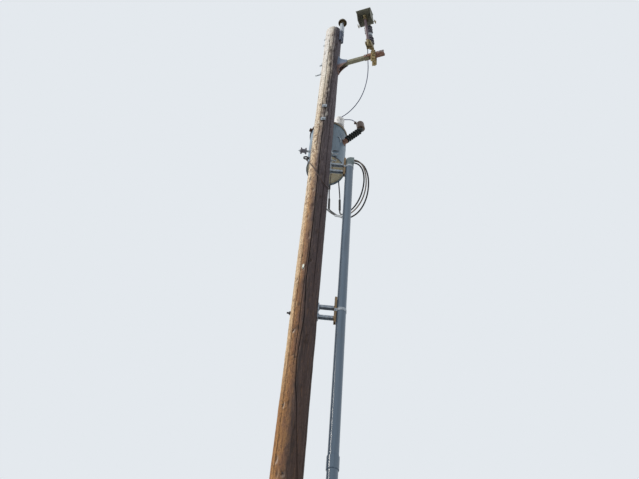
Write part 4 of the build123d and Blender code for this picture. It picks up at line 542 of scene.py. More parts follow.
# %% Gouges where the photograph shows them, and small ones anywhere
# Azimuth, height in metres, half width and half height in mm, depth in mm, and pale edge from 0 to 1.
GOUGES = (
    (-129, 11.18, 9, 12, 14, 0.0), (-96, 11.14, 10, 14, 16, 0.0),
    (-100, 10.70, 22, 70, 5, 0.1), (-95, 10.50, 20, 90, 7, 0.1), (-90, 10.30, 18, 80, 6, 0.1),
    (-91, 9.84, 15, 34, 10, 0.2), (-93, 9.66, 13, 30, 6, 0.7), (-104, 9.50, 12, 40, 4, 0.3),
    (-106, 9.31, 14, 34, 6, 0.9), (-97, 9.20, 16, 40, 6, 0.2), (-97, 9.10, 24, 44, 5, 0.9),
    (-112, 9.02, 16, 32, 6, 1.0), (-104, 8.94, 14, 24, 9, 0.0), (-120, 9.03, 9, 16, 7, 0.2),
    (-128, 6.61, 8, 14, 6, 0.0), (-84, 6.53, 8, 16, 7, 0.0), (-116, 6.43, 8, 14, 5, 0.5),
    (-114, 6.23, 34, 8, 4, 0.0), (-100, 6.26, 26, 7, 4, 0.0), (-115, 5.97, 20, 20, 3, 0.0),
    (-129, 5.68, 9, 16, 8, 0.6), (-108, 5.70, 24, 26, 4, 0.0), (-67, 5.62, 8, 12, 7, 0.0),
    (-116, 5.41, 16, 14, 8, 0.1), (-105, 5.38, 18, 9, 5, 0.1), (-136, 4.92, 10, 20, 7, 0.5),
    (-105, 4.32, 12, 18, 6, 0.6), (-70, 7.5, 10, 22, 5, 0.1), (-60, 10.9, 12, 30, 5, 0.1),
    (-112, 7.62, 12, 20, 6, 0.4), (-124, 7.18, 10, 26, 5, 0.3), (-102, 7.35, 14, 30, 5, 0.2),
    (-108, 8.05, 12, 30, 5, 0.3), (-125, 8.45, 10, 20, 5, 0.3), (-116, 8.72, 12, 30, 5, 0.3),
)
# Lowest and highest value of each column, for a gouge at a random place.
GOUGE_RANGES = ((-180, 180), (0.8, 11.2), (6, 15), (10, 40), (2, 6), (0, 0.6))
SCATTERED_GOUGES = 150
RAGGEDNESS = 0.35
SPOT_FLOOR = 1.45        # what it has over 1 leaves the spot a flat floor
# The pale fibre lies a little right of a gouge and below it, and is wider and taller.
PALE_TURN, PALE_DROP, PALE_WIDER, PALE_TALLER = 3, 0.012, 1.3, 1.2


def ragged_spot(azimuth, height, half_width, half_height, wobble):
    """1 in the middle of a ragged spot, 0 outside it."""
    sideways = angle_gap(AROUND, math.radians(azimuth)) * trunk_radius(ALONG) / (half_width * MM)
    upright = (ALONG - height) / (half_height * MM)
    return np.clip(SPOT_FLOOR - np.sqrt(sideways ** 2 + upright ** 2) + wobble, 0, 1)


def all_gouges():
    wobble = soft_noise(AROUND, ALONG, 60, 420) * RAGGEDNESS
    scattered = [[rng.uniform(*ends) for ends in GOUGE_RANGES] for _ in range(SCATTERED_GOUGES)]
    depth, dark, pale = (np.zeros(AROUND.shape) for _ in range(3))
    for azimuth, height, half_width, half_height, deep, edge in list(GOUGES) + scattered:
        share = ragged_spot(azimuth, height, half_width, half_height, wobble)
        depth = np.maximum(depth, share * deep * MM)
        dark = np.maximum(dark, share * (1 - 0.6 * edge))
        rim = ragged_spot(azimuth + PALE_TURN, height - PALE_DROP, half_width * PALE_WIDER,
                          half_height * PALE_TALLER, wobble)
        pale = np.maximum(pale, np.clip(rim - share * 0.9, 0, 1) * edge)
    return depth, dark, pale


GOUGE_DEPTH, GOUGE_DARK, GOUGE_PALE = all_gouges()
print("gouges:", len(GOUGES) + SCATTERED_GOUGES)

# %% Put the trunk together
# Cells round the trunk and along it, height in mm and slant in radians a metre of each wave.
WAVES = ((5, 34, 1.1, 0), (14, 90, 0.6, 0), (74, 90, 0.75, 0.05), (130, 500, 0.35, 0))
WAVE_SINK = 1.2          # in mm, so that the crests stay near the CAD trunk's surface
BEVEL_SLOPE = 0.8
TOP_HOLLOW = 0.002


def trunk_points():
    """The net's points, and the middles of the top and of the foot after them."""
    waves = sum(soft_noise(AROUND + ALONG * slant, ALONG, cells_around, cells_along) * height
                for cells_around, cells_along, height, slant in WAVES)
    radius = trunk_radius(ALONG) + (waves - WAVE_SINK) * MM - CHECK_DEPTH - GOUGE_DEPTH
    top = np.clip((ALONG - (TRUNK_HEIGHT - TRUNK_BEVEL)) / TRUNK_BEVEL, 0, 1)
    radius = radius - top * TRUNK_BEVEL * BEVEL_SLOPE
    points = np.stack([radius * np.cos(AROUND), radius * np.sin(AROUND), ALONG], axis=-1)
    middles = [[0, 0, TRUNK_HEIGHT - TOP_HOLLOW], [0, 0, 0]]
    return np.vstack([points.reshape(-1, 3), middles]).tolist()


def trunk_faces():
    """The net's four-sided faces, and a fan of triangles over each end."""
    index = np.arange(AROUND.size).reshape(AROUND.shape)
    right = np.roll(index, -1, axis=1)
    faces = np.stack([index[:-1], right[:-1], right[1:], index[1:]], axis=-1).reshape(-1, 4)
    crown, heel = AROUND.size, AROUND.size + 1
    caps = [(int(here), int(there), crown) for here, there in zip(index[-1], right[-1])]
    caps += [(int(there), int(here), heel) for here, there in zip(index[0], right[0])]
    return faces.tolist() + caps


def build_trunk():
    mesh = bpy.data.meshes.new("pole_trunk")
    mesh.from_pydata(trunk_points(), [], trunk_faces())
    for name, values in (("check", CHECK_DARK), ("gouge", GOUGE_DARK), ("pale", GOUGE_PALE)):
        layer = mesh.attributes.new(name, "FLOAT", "POINT")
        layer.data.foreach_set("value", np.append(values.ravel(), [0, 0]).astype(np.float32))
    mesh.shade_smooth()
    trunk = add_object("pole_trunk", mesh)
    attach(trunk, POLE_BODY)
    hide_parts("pole")
    return trunk


pole_trunk = build_trunk()
print("trunk faces:", len(pole_trunk.data.polygons))

# %% [markdown]
# ### Weathered pine
# Its colour comes in layers. The side that faces left is bleached, golden low down and nearly white
# at the top, with brown spots from 7 to 9.5 m up, and carries painted sunlight with a painted highlight
# along its left rim. The other side is grey-brown under dark veins, partly weathered and partly painted
# shade. A ragged line divides the two, with a band of painted shade along it. Over both lie flecks,
# small pits, the torn white fibre at the gouges, and the dark of the gouges and checks: painted shade
# in the checks, and in the gouges partly old dark wood and partly painted shade. Streaks of grain are
# under a centimetre wide and about
# 20 cm long. Wood has an IOR near 1.5, and weathered wood is quite rough, so it has no highlight to
# speak of.


# %% Factors and colours that change along a value
def blend(value, stops):
    """Runs through (value, factor or hex) stops, straight from one to the next."""
    low, high = stops[0][0], stops[-1][0]
    ramp = []
    for at, what in stops:
        colour = hex_colour(what) if isinstance(what, str) else (what, what, what, 1.0)
        ramp.append(((at - low) / (high - low), colour))
    place = remap(value, (low, high))
    return add_node(value.id_data, "ValToRGB", {"Fac": place}, stops=ramp).outputs["Color"]


# %% Where the sun has bleached the wood, with painted sunlight and painted shade
# Height in metres and colour of each stop.
SUNLIT = ((0.3, "#7D5E44"), (4.2, "#B4844F"), (6.2, "#A8794C"), (7.4, "#DCAE7A"), (8.5, "#F2DCBA"),
          (10.0, "#FFF4DE"), (11.2, "#FFFBF0"))
SHADED = ((4.2, "#5C4840"), (7.5, "#5B5055"), (10.0, "#766E76"), (11.2, "#6C6772"))
RIM_HIGHLIGHT = ((5.0, "#FFDFAE"), (8.5, "#FFF0D6"), (10.6, "#FFFFFF"))
STREAK = ((6.0, "#6A4428"), (8.6, "#96765A"), (10.0, "#CDBBA6"))
ASH = ((6.0, "#8C6A4C"), (9.0, "#9A8E92"))
MEAN_RADIUS = 0.123
# TOP_LEAN moves the line between painted sunlight and painted shade further right near the top.
TOP_LEAN = -0.17         # added from 9 to 10 m up, where the line moves right by as much


def across_trunk(place, side, height):
    """0 at the left edge of the trunk and 1 at the right, with a ragged line between painted sunlight and
    painted shade.
    """
    across = remap(side, (-MEAN_RADIUS, MEAN_RADIUS))
    for size, tall, shift, reach in ((110, 4, 2.0, 0.14), (24, 3, 5.0, 0.10)):
        wander = cloud(place, size, tall, shift, edges=(0.25, 0.75))
        across = plus(across, remap(wander, target=(-reach / 2, reach / 2)))
    return plus(across, times(blend(height, ((9.0, 0), (10.0, 1))), TOP_LEAN))


# %% Bleached wood with painted sunlight, and wood with painted shade
def bleached_and_sunlit_wood(place, height, across):
    """Bleached wood with painted sunlight, under a painted highlight along the left rim, brown spots, a
    blush, scales, streaks and white flakes.
    """
    colour = blend(height, SUNLIT)
    # Painted highlight: a pale rim along the trunk's left edge, where the light grazes it.
    rim = times(blend(across, ((0.06, 1), (0.22, 0))),
                blend(height, ((4.9, 0), (5.5, 0.8), (8.0, 1))))
    colour = lay_over(colour, blend(height, RIM_HIGHLIGHT), rim, 0.95)
    spots = times(cloud(place, 26, 1.6, 2.0, edges=(0.52, 0.6)),
                  blend(height, ((6.9, 0), (7.4, 1), (8.9, 1), (9.5, 0))))
    colour = lay_over(colour, "#7A5238", spots, 0.75)
    blush = times(cloud(place, 60, 2.5, 12.0, edges=(0.46, 0.62)),
                  blend(across, ((0.12, 0), (0.3, 1))))
    colour = lay_over(colour, "#8E6250", blush, 0.55)
    scales = cloud(place, 13, 2.4, 21.0, 5.0, (0.5, 0.56))
    colour = lay_over(colour, blend(height, STREAK), scales, 0.42)
    streaks = cloud(place, 9, 26, 4.0, 5.0, (0.46, 0.6))
    colour = lay_over(colour, blend(height, STREAK), streaks, 0.5)
    flakes = times(cloud(place, 18, 1.8, 15.0, 4.0, (0.58, 0.63)),
                   blend(height, ((7.6, 0), (8.8, 1))))
    return lay_over(colour, "#FFFAF0", flakes, 0.8)


def shaded_wood(place, height):
    """Grey-brown wood, partly weathered and partly painted shade, under dark veins and streaks of ash."""
    veins = cloud(place, 7, 30, 6.0, 4.0, (0.46, 0.64))
    colour = lay_over(blend(height, SHADED), "#2C2422", veins, 0.55)
    ash = cloud(place, 12, 9, 9.0, edges=(0.56, 0.68))
    return lay_over(colour, blend(height, ASH), ash, 0.45)


# %% Mix the wood
def weathered_pine():
    material, shader, place = start_finish("weathered_pine", 0.86, ior=1.5)
    tree = place.id_data
    split = add_node(tree, "SeparateXYZ", {0: place})
    height = split.outputs["Z"]
    across = across_trunk(place, split.outputs["X"], height)
    # Painted sunlight and painted shade: across the trunk the wood turns from bleached to shaded colours,
    # partly weathering and partly the fall of light.
    shade = blend(across, ((0.18, 0), (0.36, 0.55), (0.46, 0.95), (0.56, 1)))
    colour = lay_over(bleached_and_sunlit_wood(place, height, across), shaded_wood(place, height), shade)
    # Painted shade: a dark band along the line where the light turns to shade.
    edge = times(blend(across, ((0.42, 0), (0.5, 1), (0.56, 1), (0.66, 0))),
                 cloud(place, 16, 14, 11.0, edges=(0.36, 0.56)))
    colour = lay_over(colour, "#261E20", edge, 0.75)
    flecks = cloud(place, 16, 2.2, 8.0, 2.0, (0.6, 0.67))
    colour = lay_over(colour, "#3B2A1F", flecks, 0.6)
    pits = cloud(place, 6, 1, 17.0, edges=(0.57, 0.63), wide=1.6)
    colour = lay_over(colour, "#3A281E", pits, 0.65)
    pale, gouge, check = (add_node(tree, "Attribute", attribute_name=name).outputs["Fac"]
                          for name in ("pale", "gouge", "check"))
    torn = blend(height, ((8.8, 0), (9.05, 0.8), (9.6, 0.8), (9.8, 0)))
    # Painted light: the pale torn fibre shows where the wood is painted sunlit, and from 8.8 to 9.8 m up
    # on both sides.
    lit_or_torn = maths("MAXIMUM", remap(shade, target=(1, 0)), torn)
    colour = lay_over(colour, "#FBF6EE", times(pale, lit_or_torn))
    # The gouges are darkened, partly old dark wood and partly painted shade in their hollows.
    colour = lay_over(colour, "#3A2A22", gouge, 0.8)
    # Painted shade: the checks are painted nearly black inside.
    colour = lay_over(colour, "#1A1212", check)
    plug(colour, shader, "Base Color")
    add_relief(shader, cloud(place, 6, 24, 3.0, 4.0, SOFT_EDGES), 2.2)
    add_relief(shader, cloud(place, 18, 2, 7.0, 4.0, (0.4, 0.7)), 2.0)
    add_relief(shader, cloud(place, 7, 1, 17.0, edges=(0.45, 0.65), wide=1.6), -1.4)
    return material


WEATHERED_PINE = weathered_pine()
pole_trunk.data.materials.append(WEATHERED_PINE)
print("wood:", WEATHERED_PINE.name)

# %% [markdown]
# ## Metals
# Most of the hardware is hot-dip galvanised steel: steel dipped in molten zinc, which weathers to
# a dull grey with faint cloudy crystals. Where the zinc is gone the steel rusts. The cutout's
# fittings are bronze, browned by the weather. A metal's colour is its reflection, but a grey bloom
# or rust hides much of it here, so metallic stays between 0.25 and 0.6, and the IOR at its default.

# %% Galvanised steel and rust
ZINC_LAYERS = [("#C9D0D6", 22, (0.42, 0.58), 0.6), ("#6C747D", 9, (0.5, 0.62), 0.5),
               ("#5E5250", 30, (0.62, 0.72), 0.5, 3)]
GALVANISED = layered_finish("galvanised_steel", "#A3ABB3", ZINC_LAYERS,
                            [(4, 0.15), (20, 0.5)], (0.38, 0.62), metallic=0.6)
RUSTED = layered_finish("rusted_steel", "#8A6658", [
    ("#A98C7C", 24, (0.42, 0.6), 0.7), ("#5C4038", 10, (0.5, 0.62), 0.6, 2),
    ("#A79C98", 40, (0.58, 0.68), 0.6)],
    [(3, 0.35), (12, 0.6)], (0.72, 0.92), metallic=0.25)
BRONZE = layered_finish("weathered_bronze", "#857A5A", [
    ("#5A4E3E", 14, (0.46, 0.62), 0.6), ("#B5A468", 20, (0.54, 0.66), 0.6),
    ("#8E5238", 26, (0.6, 0.7), 0.6), ("#E4E0D2", 12, (0.64, 0.7), 0.7)],
    [(5, 0.3)], (0.45, 0.7), metallic=0.5)
HANGER_STEEL = layered_finish("olive_stained_steel", "#8F8560", [
    ("#B58A4C", 20, (0.48, 0.62), 0.6), ("#6A5F48", 12, (0.5, 0.64), 0.5),
    ("#EDE9DC", 14, (0.62, 0.68), 0.8)],
    [(4, 0.2), (16, 0.5)], (0.5, 0.75), metallic=0.35)
print("metals:", GALVANISED.name, RUSTED.name, BRONZE.name, HANGER_STEEL.name)

# %% Steel that changes where the zinc is gone, and where painted shadow falls on the pin
WEAR_AND_SHADOW_WANDER = 0.006


def wear_and_shadow_steel(name, axis, zinc_at, rust_and_shadow_at, zinc, rust_and_shadow, rust_and_shadow_layers, zinc_layers=ZINC_LAYERS):
    """Zinc on one side and another coat on the other, along an axis, with a ragged line between. The coat
    is rust, and on the pole-top pin it is painted shadow.
    """
    material, shader, place = start_finish(name, 0.6, metallic=0.4)
    grey = lay_layers(place, zinc, zinc_layers)
    rust_and_shadow_coat = lay_layers(place, rust_and_shadow, rust_and_shadow_layers, shift=2.9)
    side = add_node(place.id_data, "SeparateXYZ", {0: place}).outputs[axis]
    wander = remap(cloud(place, 30, shift=4.0, edges=SOFT_EDGES),
                   target=(-WEAR_AND_SHADOW_WANDER, WEAR_AND_SHADOW_WANDER))
    wear_and_shadow = remap(plus(side, wander), (zinc_at, rust_and_shadow_at))
    plug(lay_over(grey, rust_and_shadow_coat, wear_and_shadow), shader, "Base Color")
    plug(remap(wear_and_shadow, target=(0.5, 0.85)), shader, "Roughness")
    add_relief(shader, cloud(place, 8, shift=6.0, edges=SOFT_EDGES), 0.4)
    return material


# Where the zinc ends and where the other coat is whole are in metres along the axis. That coat is rust,
# and on the pin painted shadow.
STANDOFF_STEEL = wear_and_shadow_steel(
    "standoff_steel", "X", 0.258, 0.266, "#8E9AA8", "#A08C72",
    [("#BDA684", 22, (0.44, 0.6), 0.6, 3), ("#7A5638", 12, (0.52, 0.64), 0.6, 3)])
ARM_BASE_STEEL = wear_and_shadow_steel(
    "arm_base_steel", "Z", 10.41, 10.36, "#66748A", "#7E6A68",
    [("#A07A62", 18, (0.46, 0.62), 0.6), ("#56424A", 14, (0.52, 0.64), 0.6)],
    [("#7F90A8", 22, (0.42, 0.58), 0.5), ("#48566A", 12, (0.5, 0.62), 0.5)])
# Painted shadow: the pin is dark blue-grey below 11.3 m, as the pole's shadow falls on it, not rust.
PIN_STEEL_WITH_PAINTED_SHADOW = wear_and_shadow_steel(
    "pin_steel_with_painted_shadow", "Z", 11.36, 11.3, "#B4BCC6", "#4C566A",
    [("#6C7688", 20, (0.46, 0.62), 0.6, 2), ("#30343E", 12, (0.52, 0.64), 0.6)])
print("worn steels:", STANDOFF_STEEL.name, ARM_BASE_STEEL.name, PIN_STEEL_WITH_PAINTED_SHADOW.name)

# %% [markdown]
# ## Porcelain, glazed, and a moulded cover
# Insulators are wet-process porcelain under a brown or grey glaze, fired hard and glossy.
# The glaze is a thin glass, IOR about 1.5, with a low roughness that dust dulls in patches.
# The white cover over the bushing's top is moulded plastic, with marks and less shine.

# %% Two glazes and a white cover
BROWN_GLAZE = layered_finish("brown_glaze", "#51462F", [
    ("#6E6040", 30, (0.45, 0.6), 0.7), ("#3E262C", 18, (0.5, 0.62), 0.6),
    ("#9A927C", 45, (0.6, 0.75), 0.35)],
    [(14, 0.3)], (0.12, 0.3), ior=1.52)
GREY_GLAZE = layered_finish("grey_glaze", "#666672", [
    ("#787782", 26, (0.45, 0.6), 0.6), ("#54525E", 34, (0.55, 0.68), 0.5),
    ("#8E8A8A", 60, (0.62, 0.74), 0.4)],
    [(16, 0.25)], (0.16, 0.36), ior=1.52)
WHITE_COVER = layered_finish("moulded_white_cover", "#FFFFFF", [
    ("#DDE1E4", 40, (0.55, 0.7), 0.4, 2), ("#5E5F64", 22, (0.62, 0.66), 0.7, 1.6)],
    [(20, 0.3)], (0.3, 0.45), ior=1.49)
print("glazes and cover:", BROWN_GLAZE.name, GREY_GLAZE.name, WHITE_COVER.name)

# %% [markdown]
# ## Paint and plastics
# The tank is mild steel under light blue-grey enamel, sprayed and baked, dulled by sun and dusted
# from above. Its underside is painted lighter and warm, as painted bounce light from below, with rust
# where water hangs. The riser is grey PVC, extruded, with long faint lines. The hood is weathered
# polymer, nearly matt. The arrester's dark polymer keeps more of its sheen.

# %% Paints
TANK_ENAMEL = layered_finish("tank_enamel", "#6C8294", [
    ("#7F95A6", 120, (0.42, 0.6), 0.6, 2), ("#586B7C", 40, (0.52, 0.68), 0.5, 7),
    ("#6E6658", 16, (0.66, 0.74), 0.6, 10)],
    [(60, 0.5), (3, 0.05)], (0.3, 0.48), ior=1.5)
# Painted bounce light: the underside's light, warm base stands for light thrown up from below; the brown
# patches are rust.
TANK_BOTTOM_ENAMEL_AND_BOUNCE_LIGHT = layered_finish("tank_bottom_enamel_and_painted_bounce_light", "#A8A28C", [
    ("#93845F", 50, (0.48, 0.66), 0.5), ("#7A543A", 20, (0.6, 0.68), 0.7),
    ("#B4B4A8", 34, (0.56, 0.68), 0.6)],
    [(10, 0.4)], (0.5, 0.75), ior=1.5)
BAND_ENAMEL = wear_and_shadow_steel(
    "band_enamel", "X", 0.16, 0.02, "#8A7E6C", "#4E382C",
    [("#6E5240", 22, (0.48, 0.62), 0.6), ("#33261F", 12, (0.52, 0.64), 0.6)],
    [("#A89A7E", 22, (0.5, 0.64), 0.6), ("#5F5548", 12, (0.52, 0.64), 0.5)])
print("paints:", TANK_ENAMEL.name, TANK_BOTTOM_ENAMEL_AND_BOUNCE_LIGHT.name, BAND_ENAMEL.name)

# %% Plastics and rubbers
GREY_PVC = layered_finish("grey_pvc", "#627589", [
    ("#728599", 50, (0.45, 0.6), 0.5, 30), ("#4E5C6C", 14, (0.55, 0.68), 0.45, 40),
    ("#6E6E6C", 90, (0.62, 0.74), 0.35, 3)],
    [(14, 0.03, 60), (140, 0.4, 6)], (0.18, 0.26), ior=1.53)
HEAD_PVC = layered_finish("head_pvc", "#6A7A82", [
    ("#84928F", 30, (0.45, 0.6), 0.6), ("#54605F", 16, (0.56, 0.68), 0.5)],
    [(6, 0.15)], (0.35, 0.5), ior=1.53)
HEAD_INSERT = layered_finish("head_insert_plastic", "#6B5560", [
    ("#8A6F6A", 20, (0.5, 0.62), 0.6), ("#3E3238", 12, (0.55, 0.66), 0.6)],
    [(5, 0.2)], (0.5, 0.65), ior=1.5)
HOOD_PLASTIC = layered_finish("hood_polymer", "#74756A", [
    ("#8C8D7E", 34, (0.45, 0.6), 0.6), ("#575560", 22, (0.55, 0.68), 0.6),
    ("#B0AC9C", 46, (0.62, 0.72), 0.5)],
    [(12, 0.4)], (0.5, 0.7), ior=1.5)
ARM_RESIN = layered_finish("fibreglass_arm", "#7C7A66", [
    ("#97957E", 26, (0.45, 0.6), 0.6), ("#5A584C", 12, (0.54, 0.66), 0.6)],
    [(4, 0.25)], (0.55, 0.75), ior=1.53)
ARRESTER_POLYMER = layered_finish("arrester_polymer", "#2A2E2E", [
    ("#3C4242", 30, (0.45, 0.62), 0.6), ("#1A1C1C", 14, (0.5, 0.62), 0.5),
    ("#6C7070", 50, (0.66, 0.76), 0.4)],
    [(10, 0.3)], (0.25, 0.4), ior=1.43)
CAP_PLASTIC = layered_finish("arrester_cap_polymer", "#64544C", [
    ("#80695A", 30, (0.45, 0.6), 0.6), ("#463A36", 20, (0.55, 0.68), 0.6)],
    [(12, 0.3)], (0.3, 0.45), ior=1.5)
FUSE_RESIN = layered_finish("fuse_tube_resin", "#625058", [
    ("#786670", 16, (0.45, 0.6), 0.6, 3), ("#443840", 10, (0.55, 0.66), 0.5)],
    [(5, 0.2, 4)], (0.4, 0.55), ior=1.54)
print("plastics ready, the last is", FUSE_RESIN.name)

# %% Cable jackets and bare wires
BLACK_JACKET = layered_finish("black_polythene_jacket", "#0E0F13", [
    ("#191B22", 20, (0.45, 0.62), 0.6), ("#3A3936", 40, (0.7, 0.8), 0.4)],
    [(4, 0.12)], (0.42, 0.56), ior=1.5)
BLUE_JACKET = layered_finish("blue_black_jacket", "#0F2450", [
    ("#1A3A7A", 20, (0.45, 0.62), 0.6), ("#0C1220", 14, (0.55, 0.66), 0.5)],
    [(4, 0.12)], (0.42, 0.54), ior=1.5)
BARE_ALUMINIUM = layered_finish("bare_aluminium_wire", "#7E7268", [
    ("#A59C92", 8, (0.48, 0.6), 0.5), ("#4E443E", 12, (0.52, 0.64), 0.6)],
    [(3, 0.3)], (0.4, 0.6), metallic=0.6)
# This dark copper is the bond wire's, whose stretch over the pole's front is a painted shadow.
COPPER_AND_SHADOW_LINE = layered_finish("copper_wire_and_painted_shadow_line", "#3C2C28", [
    ("#62463A", 10, (0.5, 0.62), 0.5), ("#262020", 14, (0.52, 0.64), 0.6)],
    [(3, 0.2)], (0.45, 0.6), metallic=0.4)
SPLICE_METAL = layered_finish("bright_splice_metal", "#B9BDC1", [
    ("#8B8F93", 10, (0.5, 0.62), 0.6), ("#D9DCDF", 16, (0.52, 0.64), 0.6)],
    [(4, 0.2)], (0.3, 0.5), metallic=0.9)
BLACKENED_STEEL = layered_finish("blackened_steel", "#2E2B30", [
    ("#4C4440", 14, (0.5, 0.62), 0.6), ("#1A181C", 10, (0.52, 0.64), 0.6)],
    [(3, 0.2)], (0.5, 0.7), metallic=0.3)
TAG_METAL = layered_finish("aluminium_tag", "#C6CCC4", [
    ("#8F968C", 8, (0.5, 0.62), 0.5), ("#6A5A48", 5, (0.62, 0.7), 0.6)],
    [(6, 0.3)], (0.35, 0.55), metallic=0.8)
print("wires and small metals ready, the last is", TAG_METAL.name)

# %% [markdown]
# ## Dress every part
# The record lists which finish each CAD part takes. Here every part gets the material made for it.
# A few whose steel has worn in a way of its own, the pole-top pin with its painted shadow, and the spool
# with its grey glaze, get theirs.

# %% Hand out the finishes
FINISH_OF_SLOT = {
    "pole_wood": WEATHERED_PINE, "galvanised_steel": GALVANISED, "rusted_steel": RUSTED,
    "pin_porcelain": BROWN_GLAZE, "arm_resin": ARM_RESIN, "cutout_porcelain": GREY_GLAZE,
    "hood_plastic": HOOD_PLASTIC, "contact_bronze": BRONZE, "fuse_tube_resin": FUSE_RESIN,
    "tank_paint": TANK_ENAMEL, "tank_bottom_paint": TANK_BOTTOM_ENAMEL_AND_BOUNCE_LIGHT,
    "lid_band_paint": BAND_ENAMEL, "bushing_porcelain": GREY_GLAZE, "cover_plastic": WHITE_COVER,
    "lead_resin": ARM_RESIN, "arrester_rubber": ARRESTER_POLYMER,
    "arrester_cap_plastic": CAP_PLASTIC, "conduit_plastic": GREY_PVC, "head_plastic": HEAD_PVC,
    "head_insert_plastic": HEAD_INSERT, "wire_jacket": BLACK_JACKET,
    "bare_neutral": BARE_ALUMINIUM, "bond_copper": COPPER_AND_SHADOW_LINE, "splice_jacket": BLACK_JACKET,
    "splice_metal": SPLICE_METAL,
}


def dress(thing, material):
    thing.data.materials.clear()
    thing.data.materials.append(material)


FINISH_OF_NODE = {
    "cutout_hanger": HANGER_STEEL, "arm_base": ARM_BASE_STEEL, "pole_top_pin": PIN_STEEL_WITH_PAINTED_SHADOW,
    "spool": GREY_GLAZE, "eye_nut": BLACKENED_STEEL,
    **{f"standoff_{number}": STANDOFF_STEEL for number in range(1, 5)},
}
PARTS = frame["record"]["subparts"]
for part in PARTS:
    usual = FINISH_OF_SLOT[part["material_slot"]]
    dress(NODES[part["node"]], FINISH_OF_NODE.get(part["node"], usual))
print("parts dressed by the record:", len(PARTS))
FINISH_OF_CABLE = {
    "hv_lead": BLUE_JACKET, "arrester_jumper": BLUE_JACKET, "riser_cable_neutral": BARE_ALUMINIUM,
    "bond_wire": COPPER_AND_SHADOW_LINE,
}
for node, cable in cables.items():
    dress(cable, FINISH_OF_CABLE.get(node, BLACK_JACKET))

# %% [markdown]
# ## Small hardware
# Linemen leave a lot of small things on a pole: threads that stick out of nuts, washers, nails,
# aluminium tags, ferrules. They are too small for the CAD parts, so they are made here.
# Most are turned shapes: a profile of radius and height, swept round an axis. A Screw modifier or
# a bevelled curve would do the same, but points and faces are quick to write and to join.


# %% Turned shapes and bent bars
def circle(centre, across, third, radius_mm, sides):
    """Points round a centre, in the plane of two directions."""
    turns = [2 * math.pi * side / sides for side in range(sides)]
    return [centre + (across * math.cos(turn) + third * math.sin(turn)) * (radius_mm * MM)
            for turn in turns]


def skin(circles, sides, ring=False):
    """Faces between circles of points. Both ends get a cap, or meet when it is a ring."""
    faces = []
    for row in range(circles if ring else circles - 1):
        here, there = row * sides, (row + 1) % circles * sides
        for side in range(sides):
            after = (side + 1) % sides
            faces.append((here + side, here + after, there + after, there + side))
    if not ring:
        faces.append(tuple(reversed(range(sides))))
        faces.append(tuple(range((circles - 1) * sides, circles * sides)))
    return faces


def turned(profile, foot, axis, sides=16, ring=False):
    """Points and faces of a profile of (radius, height) in mm round an axis. A ring has a hole."""
    axis = Vector(axis).normalized()
    across = axis.orthogonal().normalized()
    third = axis.cross(across)
    points = []
    for radius, rise in profile:
        points += circle(Vector(foot) + axis * (rise * MM), across, third, radius, sides)
    return points, skin(len(profile), sides, ring)


def bent_bar(way, radius_mm, sides=10):
    """Points and faces of a round bar along a way of places in metres."""
    points = []
    across = (way[1] - way[0]).orthogonal().normalized()
    for number, place in enumerate(way):
        ahead = (way[min(number + 1, len(way) - 1)] - way[max(number - 1, 0)]).normalized()
        across = (across - ahead * across.dot(ahead)).normalized()
        points += circle(place, across, ahead.cross(across), radius_mm, sides)
    return points, skin(len(way), sides)


def join_shapes(name, shapes, material):
    """One mesh of many shapes, that rides on the pole."""
    points, faces = [], []
    for more_points, more_faces in shapes:
        start = len(points)
        points += [tuple(place) for place in more_points]
        faces += [tuple(start + corner for corner in face) for face in more_faces]
    mesh = bpy.data.meshes.new(name)
    mesh.from_pydata(points, [], faces)
    mesh.shade_smooth()
    mesh.set_sharp_from_angle(angle=math.radians(35))
    thing = add_object(name, mesh)
    thing.data.materials.append(material)
    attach(thing, POLE_BODY)
    return thing


# %% Places on the trunk and on the tank
def outward(azimuth):
    return Vector((math.cos(math.radians(azimuth)), math.sin(math.radians(azimuth)), 0))


def upward(height):
    return Vector((0, 0, height))


def on_trunk(azimuth, height, lift_mm=0.0):
    return outward(azimuth) * (trunk_radius(height) + lift_mm * MM) + upward(height)


TANK_AZIMUTH, TANK_REACH, TANK_RADIUS = 81, 0.42, 0.23
TANK_CENTRE = outward(TANK_AZIMUTH) * TANK_REACH
TANK_BOTTOM = round(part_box("tank_shell")[0].z, 4)


def on_tank(azimuth, height, lift_mm=0.0):
    return TANK_CENTRE + outward(azimuth) * (TANK_RADIUS + lift_mm * MM) + upward(height)


# %% Threads on the tails of the through bolts
NUT_FACE = 16.0          # washer and nut, in mm from the wood
THREAD_ROOT, THREAD_CREST = 8.05, 8.7
THREAD_CHAMFER = 1.4
# Azimuth, height in metres and length in mm of each tail.
TAILS = ((148, 11.16, 22), (148, 11.345, 22), (157, 10.545, 30), (157, 10.295, 72),
         (0, 8.44, 62), (0, 8.31, 46))


def thread(azimuth, height, start_mm, length_mm):
    """Crests 2 mm apart, a little closer than on a coarse 5/8 inch bolt, and a chamfered end."""
    profile = [(THREAD_CREST if rise % 2 else THREAD_ROOT, rise) for rise in range(length_mm)]
    profile += [(THREAD_ROOT, length_mm), (THREAD_ROOT - THREAD_CHAMFER, length_mm + 0.6)]
    return turned(profile, on_trunk(azimuth, height, start_mm), outward(azimuth), sides=12)


threads = join_shapes("bolt_threads", [thread(a, h, NUT_FACE, length) for a, h, length in TAILS],
                      GALVANISED)
print("thread faces:", len(threads.data.polygons))


# %% Washers and bolt tops
def washer(foot, axis, inner, outer, thick):
    edge = 0.6
    profile = [(inner, 0), (outer, 0), (outer, thick - edge), (outer - edge, thick), (inner, thick)]
    return turned(profile, foot, axis, sides=20, ring=True)


def bolt_top(foot, axis, radius, rise):
    return turned([(radius, 0), (radius, rise * 0.6), (radius * 0.86, rise)], foot, axis, sides=6)


